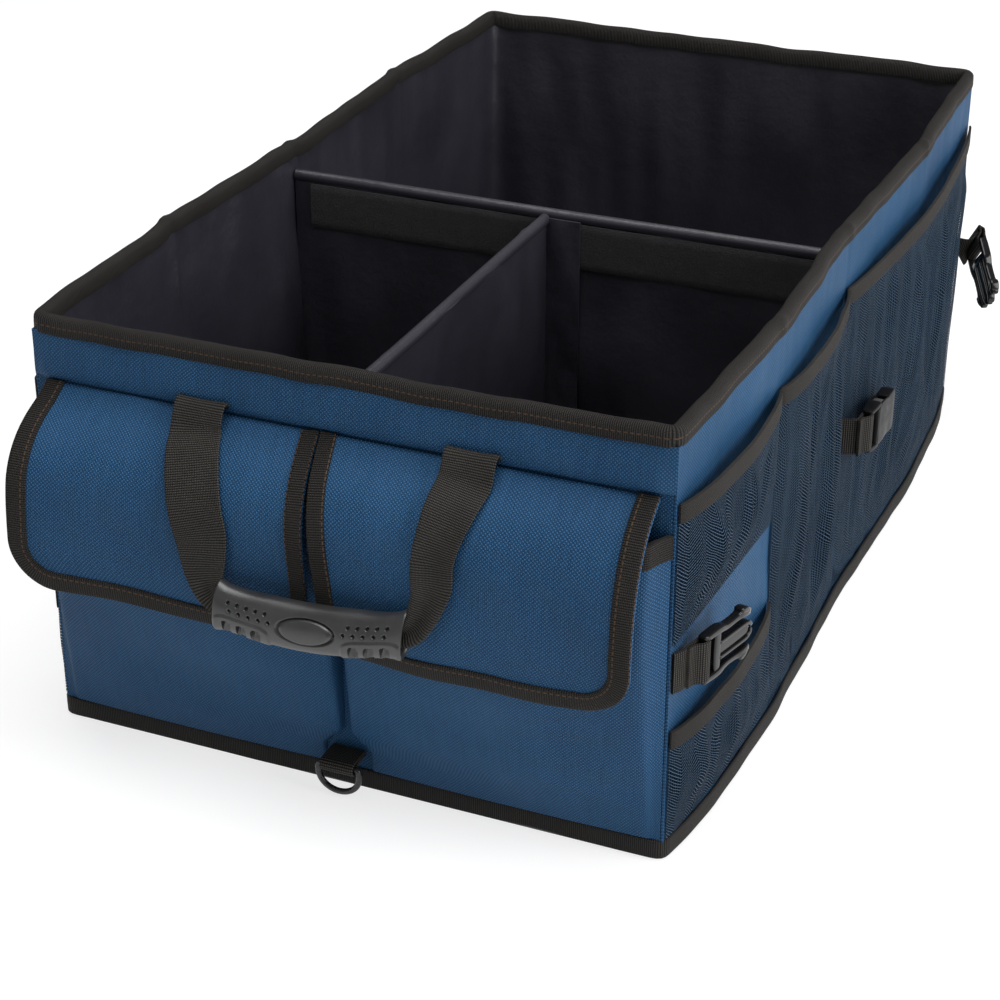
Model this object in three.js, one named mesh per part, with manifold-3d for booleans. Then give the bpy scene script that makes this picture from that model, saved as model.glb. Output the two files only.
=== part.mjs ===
import * as THREE from "three";
import { mergeVertices } from "three/addons/utils/BufferGeometryUtils.js";
import Module from "manifold-3d";

// Collapsible trunk organizer, in millimetres.
// X is the width, Y the length with the front end towards -Y, Z is up from the floor.

// Body
const bodyWidth = 376;
const bodyLength = 640;
const bodyHeight = 260;
const dividerY = -12;
const foldBow = 6;
const dividerBow = 1.5;
const footBulge = 7;
const footBulgeHeight = 120;
const footBulgeRun = 90;
const cloth = 1.2;
const board = 2.4;
const baseBoard = 3;
const liner = 1;
const gap = 0.3;
const foldGap = 2;
const rimHeight = 10;
const rimOverhang = 1.2;
const rimBevel = 1.5;
const footHeight = 12;

// Dividers
const crossDividerThickness = 5;
const crossDividerDrop = 19;
const beadWidth = 7;
const beadHeight = 7;
const tapeThickness = 1.5;
const tapeHeight = 30;
const tapeWidth = 344;
const smallDividerX = -6;
const smallDividerThickness = 3.5;
const smallDividerLift = 2;
const smallDividerDrop = 22;
const smallDividerTabWidth = 26;
const smallDividerTabThickness = 1.5;

// End pockets
const pocketCreaseInset = 9;
const pocketSeamInset = 1.5;
const pocketGrooveX = 4;
const pocketGrooveFootX = 14;
const pocketGrooveFootZ = 34;
const pocketDrop = 60;
const pocketMouthTape = 13;
const mouthTapeExtra = 0.8;

// Pocket flaps
const flapThickness = 1.5;
const flapInset = 8;
const flapSlitTop = 1.2;
const flapSlitBottom = 4.5;
const flapTape = 12;
const flapTapeExtra = 1.1;
const flapCorner = 28;
const flapSeamDrop = 40;
const flapRoot = 0.8;
const flapReach = 41.5;
const flapFall = 111;

// Handles
const strapWidth = 30;
const strapThickness = 1.8;
const strapTopX = 79;
const strapClearance = 1.1;
const strapRootThickness = 3.4;
const handlePivotDepth = 2.5;
const handlePivotDrop = 35.8;
const gripHalfLength = 57;
const gripHeight = 26;
const gripDepth = 20;
const gripStandoff = 55;
const gripLowZ = 122;
const gripEndZ = 132;
const gripBossRise = 1.4;
const gripBossHalfLength = 24;
const foldedStrapWidth = 15;
const foldedStrapThickness = 4.6;
const boreClearance = 0.5;
const boreFlare = 2.8;

// D-rings
const ringWidth = 29;
const ringWire = 3.6;
const ringDrop = 17;
const ringBarDepth = 15;
const ringBarZ = 20.5;
const ringTabWidth = 21;
const ringTabThickness = 1.8;
const ringClearance = 0.6;

// Mesh side pockets
const meshThickness = 1;
const meshSeam = 3;
const meshDrop = 42;
const meshUpperBottom = 134;
const meshLowerTop = 82;
const elasticHeight = 11;
const elasticExtra = 0.8;
const meshMouthDepth = 9;
const meshBellyDepth = 11;
const pleatPitch = 18;
const pleatDepth = 1.6;

// Side-release buckles
const buckleZ = 118;
const tabWidth = 25;
const tabThickness = 1.6;
const barDiameter = 3.6;
const barClearance = 0.4;
const plugWidth = 30;
const plugThickness = 6.5;
const plugLength = 47;
const prongGap = 3.6;
const socketWidth = 31;
const socketThickness = 10;
const socketLength = 44;
const socketWall = 1.8;
const frontBarOut = 11;
const frontBarBack = 22;
const middleBarOut = 18;
const middleBarBack = 15;
const rearBarOut = 15;
const rearBarBack = 2;
const rearBarLift = 6;

// Values worked out from those above
const halfWidth = bodyWidth / 2;
const halfLength = bodyLength / 2;
const frontFoldY = (dividerY - halfLength) / 2;
const rearFoldY = (dividerY + halfLength) / 2;
const wallFoot = cloth + gap;
const boardDepth = cloth + gap;
const linerDepth = boardDepth + board + gap;
const innerDepth = linerDepth + liner;
const wallTop = bodyHeight - rimHeight - gap;
const linerFoot = wallFoot + baseBoard + gap;
const floorZ = linerFoot + liner;
const crossDividerTop = bodyHeight - crossDividerDrop;
const smallDividerTop = bodyHeight - smallDividerDrop;
const pocketTop = bodyHeight - pocketDrop;
const pocketCreaseX = halfWidth - pocketCreaseInset;
const pocketSeamX = halfWidth - pocketSeamInset;
const flapHalfWidth = halfWidth - flapInset;
const flapSeamZ = bodyHeight - flapSeamDrop;
const handlePivotY = -halfLength - handlePivotDepth;
const handlePivotZ = bodyHeight - handlePivotDrop;
const gripY = -halfLength - gripStandoff;
const ringBarY = -halfLength - ringBarDepth;
const meshTop = bodyHeight - meshDrop;

const wasm = await Module();
wasm.setup();

// Colours and finishes
const blueCloth = { color: 0x1f3f66, roughness: 0.85, metalness: 0 };
const satinLining = { color: 0x17171b, roughness: 0.5, metalness: 0 };
const darkTape = { color: 0x2b2826, roughness: 0.9, metalness: 0 };
const darkMesh = { color: 0x2a3f52, roughness: 0.85, metalness: 0 };
const greyBoard = { color: 0x6b665e, roughness: 0.8, metalness: 0 };
const gripRubber = { color: 0x45464a, roughness: 0.65, metalness: 0 };
const glossPlastic = { color: 0x141416, roughness: 0.28, metalness: 0 };
const blackMetal = { color: 0x1a1a1d, roughness: 0.35, metalness: 0.8 };

// Keeps only positions, joins shared corners and turns every face outwards.
function solid(source) {
  const bare = new THREE.BufferGeometry();
  bare.setAttribute("position", source.attributes.position.clone());
  if (source.index) bare.setIndex(source.index.clone());
  const geometry = mergeVertices(bare, 1e-3);
  const corners = geometry.attributes.position;
  const index = geometry.index;
  const a = new THREE.Vector3();
  const b = new THREE.Vector3();
  const c = new THREE.Vector3();
  const kept = [];
  let volume = 0;
  for (let face = 0; face < index.count; face += 3) {
    const [i, j, k] = [index.getX(face), index.getX(face + 1), index.getX(face + 2)];
    if (i === j || j === k || i === k) continue;
    kept.push(i, j, k);
    a.fromBufferAttribute(corners, i);
    b.fromBufferAttribute(corners, j);
    c.fromBufferAttribute(corners, k);
    volume += a.dot(b.cross(c)) / 6;
  }
  if (volume < 0) kept.reverse();
  geometry.setIndex(kept);
  geometry.computeVertexNormals();
  return geometry;
}

function toManifold(source) {
  const geometry = solid(source);
  const vertProperties = new Float32Array(geometry.attributes.position.array);
  const triVerts = new Uint32Array(geometry.index.array);
  return new wasm.Manifold(new wasm.Mesh({ numProp: 3, vertProperties, triVerts }));
}

function fromManifold(shape) {
  const result = shape.getMesh();
  const geometry = new THREE.BufferGeometry();
  geometry.setAttribute("position", new THREE.BufferAttribute(result.vertProperties, 3));
  geometry.setIndex(new THREE.BufferAttribute(result.triVerts, 1));
  return solid(geometry);
}

function join(...pieces) {
  const [first, ...others] = pieces.map(toManifold);
  return fromManifold(others.reduce((whole, piece) => whole.add(piece), first));
}

function cut(body, ...tools) {
  return fromManifold(tools.map(toManifold).reduce((whole, tool) => whole.subtract(tool), toManifold(body)));
}

function block(fromX, toX, fromY, toY, fromZ, toZ) {
  const geometry = new THREE.BoxGeometry(toX - fromX, toY - fromY, toZ - fromZ);
  geometry.translate((fromX + toX) / 2, (fromY + toY) / 2, (fromZ + toZ) / 2);
  return solid(geometry);
}

function outline(points, holes = []) {
  const shape = new THREE.Shape(points.map(([x, y]) => new THREE.Vector2(x, y)));
  shape.holes = holes.map((hole) => new THREE.Path(hole.map(([x, y]) => new THREE.Vector2(x, y))));
  return shape;
}

function upright(shape, fromZ, toZ, bevel = 0) {
  const geometry = new THREE.ExtrudeGeometry(shape, {
    depth: toZ - fromZ - 2 * bevel,
    bevelEnabled: bevel > 0,
    bevelThickness: bevel,
    bevelSize: bevel,
    bevelOffset: -bevel,
    bevelSegments: 1,
    curveSegments: 6,
  });
  geometry.translate(0, 0, fromZ + bevel);
  return solid(geometry);
}

// A profile given as (y, z) and drawn out along X.
const yzToSpace = new THREE.Matrix4().set(0, 0, 1, 0, 1, 0, 0, 0, 0, 1, 0, 0, 0, 0, 0, 1);

function alongX(shape, fromX, toX, bevel = 0) {
  return solid(upright(shape, fromX, toX, bevel).applyMatrix4(yzToSpace));
}

// A thin piece of cloth: a box whose grid is laid over a surface, face 1 being the outer side.
function drape(columns, rows, place) {
  const box = new THREE.BoxGeometry(1, 1, 1, columns.length - 1, rows.length - 1, 1);
  const corners = box.attributes.position;
  for (let index = 0; index < corners.count; index += 1) {
    const column = Math.round((corners.getX(index) + 0.5) * (columns.length - 1));
    const row = Math.round((corners.getY(index) + 0.5) * (rows.length - 1));
    const face = Math.round(corners.getZ(index) + 0.5);
    corners.setXYZ(index, ...place(columns[column], rows[row], face));
  }
  return solid(box);
}

function mirrored(source) {
  return solid(source.clone().scale(-1, 1, 1));
}

function piece(name, geometry, finish) {
  const mesh = new THREE.Mesh(geometry, new THREE.MeshStandardMaterial(finish));
  mesh.name = name;
  return mesh;
}

// Straight-line reading of a list of [position, value] pairs.
function reading(pairs, at) {
  if (at <= pairs[0][0]) return pairs[0][1];
  for (let index = 1; index < pairs.length; index += 1) {
    const [low, from] = pairs[index - 1];
    const [high, to] = pairs[index];
    if (at <= high) return from + ((to - from) * (at - low)) / (high - low);
  }
  return pairs[pairs.length - 1][1];
}

function steps(from, to, count) {
  return Array.from({ length: count + 1 }, (_, index) => from + ((to - from) * index) / count);
}

// The long walls stand out at their two fold lines and are drawn in a little at the cross divider.
function sideX(y) {
  const knots = [
    [-halfLength, 0],
    [frontFoldY, foldBow],
    [dividerY, dividerBow],
    [rearFoldY, foldBow],
    [halfLength, 0],
  ];
  return halfWidth + reading(knots, y);
}

// Their foot swells outwards between the corners.
function swell(y, z) {
  const fromEnd = Math.min(1, (halfLength - Math.abs(y)) / footBulgeRun);
  const fromTop = Math.max(0, 1 - z / footBulgeHeight);
  return footBulge * fromEnd * (2 - fromEnd) * fromTop * fromTop;
}

const sideStations = [
  ...steps(-halfLength, frontFoldY, 5),
  ...steps(frontFoldY, dividerY, 3).slice(1),
  ...steps(dividerY, rearFoldY, 3).slice(1),
  ...steps(rearFoldY, halfLength, 5).slice(1),
];

// The plan of the body, drawn in by depth from its outer face.
function plan(depth, footZ = Infinity) {
  const endY = halfLength - depth;
  const stations = [-endY, ...sideStations.filter((y) => Math.abs(y) < endY - 1), endY];
  const used = footZ < Infinity ? stations : stations.filter((y) => keyStation(y, endY));
  const right = used.map((y) => [sideX(y) + (footZ < Infinity ? swell(y, footZ) : 0) - depth, y]);
  const left = right.map(([x, y]) => [-x, y]).reverse();
  return [...right, ...left];
}

function keyStation(y, endY) {
  return [-endY, frontFoldY, dividerY, rearFoldY, endY].some((key) => Math.abs(key - y) < 1e-6);
}

// Outer cloth
function sidePanel() {
  const rows = [wallFoot, 14, 35, 60, 88, footBulgeHeight, wallTop];
  return drape(sideStations, rows, (y, z, face) => [sideX(y) + swell(y, z) - (face ? 0 : cloth), y, z]);
}

function endPanel() {
  const reach = halfWidth - cloth - gap;
  return block(-reach, reach, -halfLength, -halfLength + cloth, wallFoot, wallTop);
}

function basePanel() {
  const outer = plan(-gap - cloth, wallFoot);
  const inner = plan(-gap, wallFoot);
  return join(upright(outline(outer), 0, cloth), upright(outline(outer, [inner]), 0, footHeight));
}

// Boards
function endBoard() {
  const reach = halfWidth - boardDepth - gap;
  const face = -halfLength + boardDepth;
  return block(-reach, reach, face, face + board, linerFoot, wallTop - gap);
}

function sideBoard(fromY, toY) {
  const corners = [
    [sideX(fromY) - boardDepth, fromY],
    [sideX(toY) - boardDepth, toY],
    [sideX(toY) - boardDepth - board, toY],
    [sideX(fromY) - boardDepth - board, fromY],
  ];
  return upright(outline(corners), linerFoot, wallTop - gap);
}

const endBoardInner = halfLength - boardDepth - board - gap;
const sideBoards = [
  [-endBoardInner, frontFoldY - foldGap],
  [frontFoldY + foldGap, dividerY - foldGap],
  [dividerY + foldGap, rearFoldY - foldGap],
  [rearFoldY + foldGap, endBoardInner],
].map(([fromY, toY]) => sideBoard(fromY, toY));

// Lining and rim
function lining() {
  const tub = upright(outline(plan(linerDepth)), linerFoot, wallTop);
  return cut(tub, upright(outline(plan(innerDepth)), floorZ, wallTop + 1));
}

function rimBinding() {
  const ring = outline(plan(-rimOverhang), [plan(innerDepth + rimOverhang)]);
  return upright(ring, wallTop + gap, bodyHeight, rimBevel);
}

// Dividers
const crossReach = sideX(dividerY) - innerDepth - gap;
const crossFace = dividerY - crossDividerThickness / 2;
const beadFoot = crossDividerTop - beadHeight;
const crossTapeFace = crossFace - gap - tapeThickness;
const wallTapeFace = -halfLength + innerDepth + gap + tapeThickness;
const tapeFoot = beadFoot - gap - tapeHeight;

function crossDivider() {
  const half = crossDividerThickness / 2;
  const bead = beadWidth / 2;
  const section = [
    [-half, floorZ + gap],
    [half, floorZ + gap],
    [half, beadFoot],
    [bead, beadFoot + 1],
    [bead, crossDividerTop - 2],
    [bead - 2, crossDividerTop],
    [2 - bead, crossDividerTop],
    [-bead, crossDividerTop - 2],
    [-bead, beadFoot + 1],
    [-half, beadFoot],
  ];
  return alongX(outline(section.map(([y, z]) => [dividerY + y, z])), -crossReach, crossReach);
}

function loopTape(nearY) {
  const reach = tapeWidth / 2;
  return block(-reach, reach, nearY, nearY + tapeThickness, tapeFoot, tapeFoot + tapeHeight);
}

function smallDivider() {
  const left = smallDividerX - smallDividerThickness / 2;
  const right = smallDividerX + smallDividerThickness / 2;
  const tabEnd = left + smallDividerTabWidth;
  const front = wallTapeFace + gap;
  const rear = crossTapeFace - gap;
  const section = [
    [left, front],
    [tabEnd, front],
    [tabEnd, front + smallDividerTabThickness],
    [right, front + smallDividerTabThickness],
    [right, rear - smallDividerTabThickness],
    [tabEnd, rear - smallDividerTabThickness],
    [tabEnd, rear],
    [left, rear],
  ];
  return upright(outline(section), floorZ + smallDividerLift, smallDividerTop);
}

// End pockets: a wedge that opens at the top under the flap.
const pocketEdgeDepth = [
  [footHeight, 0],
  [45, 5],
  [80, 11],
  [125, 17],
  [160, 19],
  [pocketTop, 17],
];
const pocketMiddleDepth = [
  [footHeight, 1],
  [45, 10],
  [80, 19],
  [125, 27],
  [150, 29],
  [175, 25],
  [pocketTop, 18],
];
const pocketFootZ = footHeight + gap + 0.2;
const mouthZ = pocketTop - pocketMouthTape;

function endPocket() {
  const columns = [
    { side: 0, out: 0, lean: 0, inX: 1, inY: 0 },
    { side: 0, out: 0, lean: 1, inX: 1, inY: 0.3 },
    { side: 0, out: 5, lean: 1, inX: 0.6, inY: 1 },
    { part: 0.22 },
    { part: 0.5 },
    { part: 0.78 },
    { side: 1, out: 5, lean: 1, inX: -0.6, inY: 1 },
    { side: 1, out: 0, lean: 1, inX: -1, inY: 0.3 },
    { side: 1, out: 0, lean: 0, inX: -1, inY: 0 },
  ];
  const rows = [pocketFootZ, pocketGrooveFootZ, 52, 80, 125, 150, 175, mouthZ - 0.6, mouthZ, pocketTop];
  return drape(columns, rows, (column, z, face) => {
    const extra = z >= mouthZ ? mouthTapeExtra : 0;
    const thick = face ? 0 : cloth + extra;
    const grooveX = z <= pocketGrooveFootZ ? pocketGrooveFootX : pocketGrooveX;
    const edge = reading(pocketEdgeDepth, z);
    const middle = reading(pocketMiddleDepth, z);
    const wall = -halfLength - gap;
    if (column.part !== undefined) {
      const swing = 4 * column.part * (1 - column.part);
      const x = grooveX + (pocketCreaseX - grooveX) * column.part;
      return [x, wall - cloth - extra - edge - (middle - edge) * swing + thick, z];
    }
    const crease = column.side ? pocketCreaseX - column.out : grooveX + 1 + column.out;
    const seam = column.side ? pocketSeamX : grooveX;
    const x = column.lean ? crease : seam;
    const depth = column.lean ? cloth + extra + edge * (column.out ? 1 : 0.85) : 0;
    return [x + thick * column.inX, wall - depth + thick * column.inY * (column.lean ? 1 : 0), z];
  });
}

// Flap section, from the seam outwards and down, on its inner side: shares of its reach and its fall.
const flapSection = new THREE.CatmullRomCurve3(
  [
    [0, 0],
    [0.2506, 0.0586],
    [0.5209, 0.1351],
    [0.7297, 0.2342],
    [0.8771, 0.3604],
    [0.9631, 0.5135],
    [1, 0.7027],
    [0.9754, 0.8649],
    [0.9017, 1],
  ].map(([reach, fall]) => {
    const y = -halfLength - flapRoot - reach * (flapReach - flapRoot);
    return new THREE.Vector3(0, y, flapSeamZ - fall * flapFall);
  }),
);
const flapLength = flapSection.getLength();

function flapPoint(along, out) {
  const part = Math.min(1, along / flapLength);
  const point = flapSection.getPointAt(part);
  const ahead = flapSection.getTangentAt(part);
  return [point.y + ahead.z * out, point.z - ahead.y * out];
}

function pocketFlap() {
  const tapeStep = flapTape + 0.5;
  const columns = [
    { inner: 0 },
    { inner: flapTape },
    { inner: tapeStep },
    { part: 0.33 },
    { part: 0.66 },
    { outer: tapeStep },
    { outer: flapTape },
    { outer: 0 },
  ];
  const lower = [flapCorner, 20, tapeStep, flapTape, 5, 0].map((back) => flapLength - back);
  const rows = [...steps(0, flapLength - flapCorner, 6).slice(0, -1), ...lower];
  return drape(columns, rows, (column, along, face) => {
    const below = Math.max(0, along - (flapLength - flapCorner));
    const corner = flapCorner - Math.sqrt(flapCorner * flapCorner - below * below);
    const innerX = flapSlitTop + ((flapSlitBottom - flapSlitTop) * along) / flapLength;
    const outerX = flapHalfWidth - corner;
    let x = innerX + tapeStep + (outerX - innerX - 2 * tapeStep) * column.part;
    if (column.inner !== undefined) x = innerX + column.inner;
    if (column.outer !== undefined) x = outerX - column.outer;
    const taped = column.inner <= flapTape || column.outer <= flapTape || along >= flapLength - flapTape;
    const out = face ? flapThickness + (taped ? flapTapeExtra : 0) : 0;
    return [x, ...flapPoint(along, out)];
  });
}

// Handle: one strap folded narrow inside a moulded sleeve and sewn flat into the seam at both ends.
function gripZ(x) {
  return gripLowZ + (gripEndZ - gripLowZ) * (x / gripHalfLength) ** 2;
}

function handlePath() {
  const out = flapThickness + strapClearance + strapThickness / 2;
  const climb = [0.58, 0.46, 0.34, 0.22, 0.1].map((part) => flapPoint(flapLength * part, out));
  const lean = (z) => strapTopX - (handlePivotZ - z) * 0.13;
  const half = [
    [20, gripY, gripZ(20)],
    [38, gripY, gripZ(38)],
    [50, gripY, gripZ(50)],
    [57, gripY, gripEndZ],
    [64, gripY + 1, gripEndZ + 5],
    [68, gripY + 4.5, gripEndZ + 15],
    ...climb.map(([y, z]) => [lean(z), y, z]),
    [strapTopX, handlePivotY, handlePivotZ],
  ];
  const left = half.map(([x, y, z]) => [-x, y, z]).reverse();
  const points = [...left, [0, gripY, gripLowZ], ...half].map((point) => new THREE.Vector3(...point));
  return new THREE.CatmullRomCurve3(points);
}

function handleStrap() {
  const path = handlePath();
  const length = path.getLength();
  const stations = [
    ...steps(0, 0.24, 8),
    ...steps(0.24, 0.36, 7).slice(1),
    ...steps(0.36, 0.64, 8).slice(1),
    ...steps(0.64, 0.76, 7).slice(1),
    ...steps(0.76, 1, 8).slice(1),
  ];
  return drape(stations, [-0.5, 0.5], (part, across, face) => {
    const point = path.getPointAt(part);
    const ahead = path.getTangentAt(part);
    const fromEnd = Math.min(part, 1 - part) * length;
    const spread = Math.min(1, Math.max(0, (point.z - gripEndZ - 5) / 16));
    const width = foldedStrapWidth + (strapWidth - foldedStrapWidth) * spread;
    const flat = foldedStrapThickness + (strapThickness - foldedStrapThickness) * spread;
    const thick = fromEnd < 2.5 ? strapRootThickness : flat;
    const facing = new THREE.Vector3(0, -Math.abs(ahead.z) - 0.3 * (1 - spread), Math.abs(ahead.y) * spread);
    const sideways = facing.cross(ahead).normalize();
    const outwards = ahead.clone().cross(sideways).normalize();
    point.addScaledVector(sideways, across * width);
    point.addScaledVector(outwards, (face - 0.5) * thick);
    return point.toArray();
  });
}

function sleeve(radial, along, reach, place) {
  const tube = new THREE.CylinderGeometry(1, 1, 2 * reach, radial, along);
  tube.rotateZ(-Math.PI / 2);
  const corners = tube.attributes.position;
  for (let index = 0; index < corners.count; index += 1) {
    const x = corners.getX(index);
    const [y, z] = place(x, corners.getY(index), corners.getZ(index));
    corners.setXYZ(index, x, gripY + y, gripZ(x) + z);
  }
  return solid(tube);
}

function handleGrip() {
  const outer = sleeve(14, 14, gripHalfLength, (x, z, y) => {
    const nearEnd = Math.max(0, Math.abs(x) / gripHalfLength - 0.86) / 0.14;
    const slim = 1 - 0.06 * nearEnd * nearEnd;
    const oval = 1 - (x / gripBossHalfLength) ** 2 - (z / 0.6) ** 2;
    const boss = y < 0 && oval > 0 ? gripBossRise * Math.min(1, 3 * oval) : 0;
    return [(y * gripDepth * slim) / 2 - boss, (z * gripHeight * slim) / 2];
  });
  const bore = sleeve(8, 10, gripHalfLength + 4, (x, z, y) => {
    const flare = Math.abs(x) > gripHalfLength - 9 ? boreFlare : 0.6;
    const tall = foldedStrapWidth / 2 + boreClearance + flare;
    const deep = foldedStrapThickness / 2 + boreClearance + flare / 2;
    const square = Math.max(Math.abs(y), Math.abs(z)) || 1;
    return [(y / square) * deep, (z / square) * tall];
  });
  return cut(outer, bore);
}

// D-ring on a folded tab at the foot of the groove between the pockets.
function ringTab() {
  const inner = ringWire / 2 + ringClearance;
  const outer = inner + ringTabThickness;
  const root = -halfLength - gap;
  const top = ringBarZ + outer;
  const under = top - 2 * ringTabThickness - gap;
  const loop = new THREE.Shape();
  loop.moveTo(root, top);
  loop.lineTo(root, under);
  loop.lineTo(ringBarY + outer + 1, under);
  loop.lineTo(ringBarY + outer * 0.8, ringBarZ - outer * 0.6);
  loop.lineTo(ringBarY, ringBarZ - outer);
  loop.absarc(ringBarY, ringBarZ, outer, -Math.PI / 2, -1.5 * Math.PI, true);
  const hole = new THREE.Path();
  hole.absarc(ringBarY, ringBarZ, inner, 0, 2 * Math.PI, false);
  loop.holes = [hole];
  return alongX(loop, -ringTabWidth / 2, ringTabWidth / 2);
}

function ringBow(reach, bottom, top) {
  const bow = new THREE.Path();
  bow.moveTo(-reach, top);
  bow.lineTo(-reach, -bottom * 0.35);
  bow.bezierCurveTo(-reach, -bottom * 1.2167, reach, -bottom * 1.2167, reach, -bottom * 0.35);
  bow.lineTo(reach, top);
  return bow.getPoints(9).map(({ x, y }) => [x, y]);
}

function dRing() {
  const wire = ringWire / 2;
  const reach = ringWidth / 2 - wire;
  const outer = ringBow(reach + wire, ringDrop + wire, wire);
  const inner = ringBow(reach - wire, ringDrop - wire, -wire);
  const ring = upright(outline(outer, [inner]), -wire, wire, wire * 0.45);
  ring.rotateX(Math.PI / 2);
  ring.translate(0, ringBarY, ringBarZ);
  return solid(ring);
}

// Mesh pockets: a slack net sewn down at its sides and foot, gathered by elastic tape along its mouth.
function meshPocket(fromY, toY, footZ, topZ) {
  const count = 2 * Math.round((toY - fromY) / (2 * pleatPitch));
  const columns = [...Array(count + 1).keys()];
  const elasticZ = topZ - elasticHeight;
  const rows = [...steps(footZ, elasticZ - 0.6, 3), elasticZ, topZ];
  return drape(columns, rows, (column, z, face) => {
    const part = column / count;
    const y = fromY + (toY - fromY) * part;
    const pleat = column % 2 ? pleatDepth : 0;
    const extra = z >= elasticZ ? elasticExtra : 0;
    const up = (z - footZ) / (topZ - footZ);
    const sideways = Math.min(1, 5 * Math.min(part, 1 - part));
    const belly = meshBellyDepth * Math.sqrt(Math.min(1, 4 * up)) * (1 - up) + meshMouthDepth * up;
    const slack = sideways * (2 - sideways) * (up > 0 ? belly + pleat : 0);
    const wall = sideX(y) + swell(y, z) + gap;
    return [wall + slack + (face ? meshThickness + extra : 0), y, z];
  });
}

// Buckle halves have their webbing bar on the Z axis and reach out along +Y.
const buckleNeck = barDiameter / 2 + tabThickness + 5;
const railInner = tabWidth / 2 + 0.8;

function buckleBar(length) {
  const bar = new THREE.CylinderGeometry(barDiameter / 2, barDiameter / 2, length, 12);
  bar.rotateX(Math.PI / 2);
  return solid(bar);
}

function webbingSlot() {
  return block(-9, 9, -9, buckleNeck, -railInner, railInner);
}

function bucklePlug() {
  const half = plugWidth / 2;
  const neck = buckleNeck;
  const tip = plugLength - barDiameter / 2;
  const armOuter = half - 1.2;
  const armInner = armOuter - 4.2;
  const guide = armInner - prongGap;
  const form = [
    [-2.4, -half],
    [neck + 4, -half],
    [neck + 9, -armOuter],
    [tip - 13, -armOuter - 0.6],
    [tip - 12, -half - 1],
    [tip - 3, -half + 1.5],
    [tip - 2, -armInner + 0.6],
    [tip - 10, -armInner],
    [neck + 6, -armInner],
    [neck + 6, -guide],
    [tip - 3, -guide],
    [tip, -guide + 3],
    [tip, guide - 3],
    [tip - 3, guide],
    [neck + 6, guide],
    [neck + 6, armInner],
    [tip - 10, armInner],
    [tip - 2, armInner - 0.6],
    [tip - 3, half - 1.5],
    [tip - 12, half + 1],
    [tip - 13, armOuter + 0.6],
    [neck + 9, armOuter],
    [neck + 4, half],
    [-2.4, half],
  ];
  const body = alongX(outline(form), -plugThickness / 2, plugThickness / 2, 0.8);
  return join(cut(body, webbingSlot()), buckleBar(plugWidth - 1.6));
}

function buckleSocket() {
  const half = socketWidth / 2;
  const form = [
    [-2.4, -half + 1],
    [8, -half],
    [socketLength * 0.45, -half],
    [socketLength * 0.62, -half + 2.5],
    [socketLength * 0.86, -half + 1],
    [socketLength - 2.4, -half + 3],
    [socketLength - 2.4, half - 3],
    [socketLength * 0.86, half - 1],
    [socketLength * 0.62, half - 2.5],
    [socketLength * 0.45, half],
    [8, half],
    [-2.4, half - 1],
  ];
  const deep = socketThickness / 2 - socketWall;
  const body = alongX(outline(form), -socketThickness / 2, socketThickness / 2, 1.2);
  const mouth = block(-deep, deep, buckleNeck + 3, socketLength + 5, -half + 4.6, half - 4.6);
  const windows = block(-deep, deep, buckleNeck + 9, socketLength * 0.66, -half - 2, half + 2);
  return join(cut(body, webbingSlot(), mouth, windows), buckleBar(socketWidth - 2.4));
}

// Webbing tab: sewn into a seam at its root and looped round the bar of its buckle.
function buckleTab(seat) {
  const radius = barDiameter / 2 + barClearance + tabThickness / 2;
  const tail = tabThickness + 0.5 - radius;
  const turns = [150, 120, 90, 60, 30].map((angle) => {
    const turn = THREE.MathUtils.degToRad(angle);
    return [radius * Math.cos(turn), radius * Math.sin(turn)];
  });
  const round = [
    [-radius, -11],
    [-radius, -5],
    [-radius, 0],
    ...turns,
    [radius, 0],
    [radius - 0.4, -3.5],
    [tail, -8.5],
    [tail, -11],
  ];
  const frame = buckleFrame(seat);
  const path = round.map(([x, y]) => new THREE.Vector3(x, y, 0).applyMatrix4(frame));
  path.unshift(new THREE.Vector3(...seat.root));
  const barWay = new THREE.Vector3(0, 0, 1).transformDirection(frame);
  const upwards = new THREE.Vector3(0, 0, 1);
  return drape([...path.keys()], [-0.5, 0.5], (index, across, face) => {
    const next = path[Math.min(index + 1, path.length - 1)];
    const ahead = next.clone().sub(path[Math.max(index - 1, 0)]).normalize();
    const wide = index ? barWay : upwards;
    const out = ahead.clone().cross(wide).normalize();
    const point = path[index].clone();
    point.addScaledVector(wide, across * tabWidth);
    point.addScaledVector(out, (face - 0.5) * tabThickness);
    return point.toArray();
  });
}

// Where each buckle hangs on the right wall: its seam, its bar, its turn from +Y and its droop.
const seamOut = gap + tabThickness / 2;
const buckleSeats = {
  front: {
    root: [sideX(-halfLength) + seamOut + 0.1, -halfLength + 1.5, buckleZ],
    bar: [halfWidth + frontBarOut, -halfLength + frontBarBack, buckleZ],
    turn: -15,
    droop: 0,
  },
  middle: {
    root: [sideX(dividerY) + seamOut, dividerY, buckleZ],
    bar: [halfWidth + middleBarOut, dividerY + middleBarBack, buckleZ],
    turn: -4,
    droop: 0,
  },
  rear: {
    root: [sideX(halfLength) + seamOut + 0.1, halfLength - 1.5, buckleZ + 2],
    bar: [halfWidth + rearBarOut, halfLength + rearBarBack, buckleZ + rearBarLift],
    turn: -145,
    droop: 42,
  },
};

function buckleFrame(seat) {
  const droop = -THREE.MathUtils.degToRad(seat.droop);
  const turn = THREE.MathUtils.degToRad(seat.turn);
  const facing = new THREE.Euler(droop, 0, turn, "ZXY");
  return new THREE.Matrix4().makeRotationFromEuler(facing).setPosition(...seat.bar);
}

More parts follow.
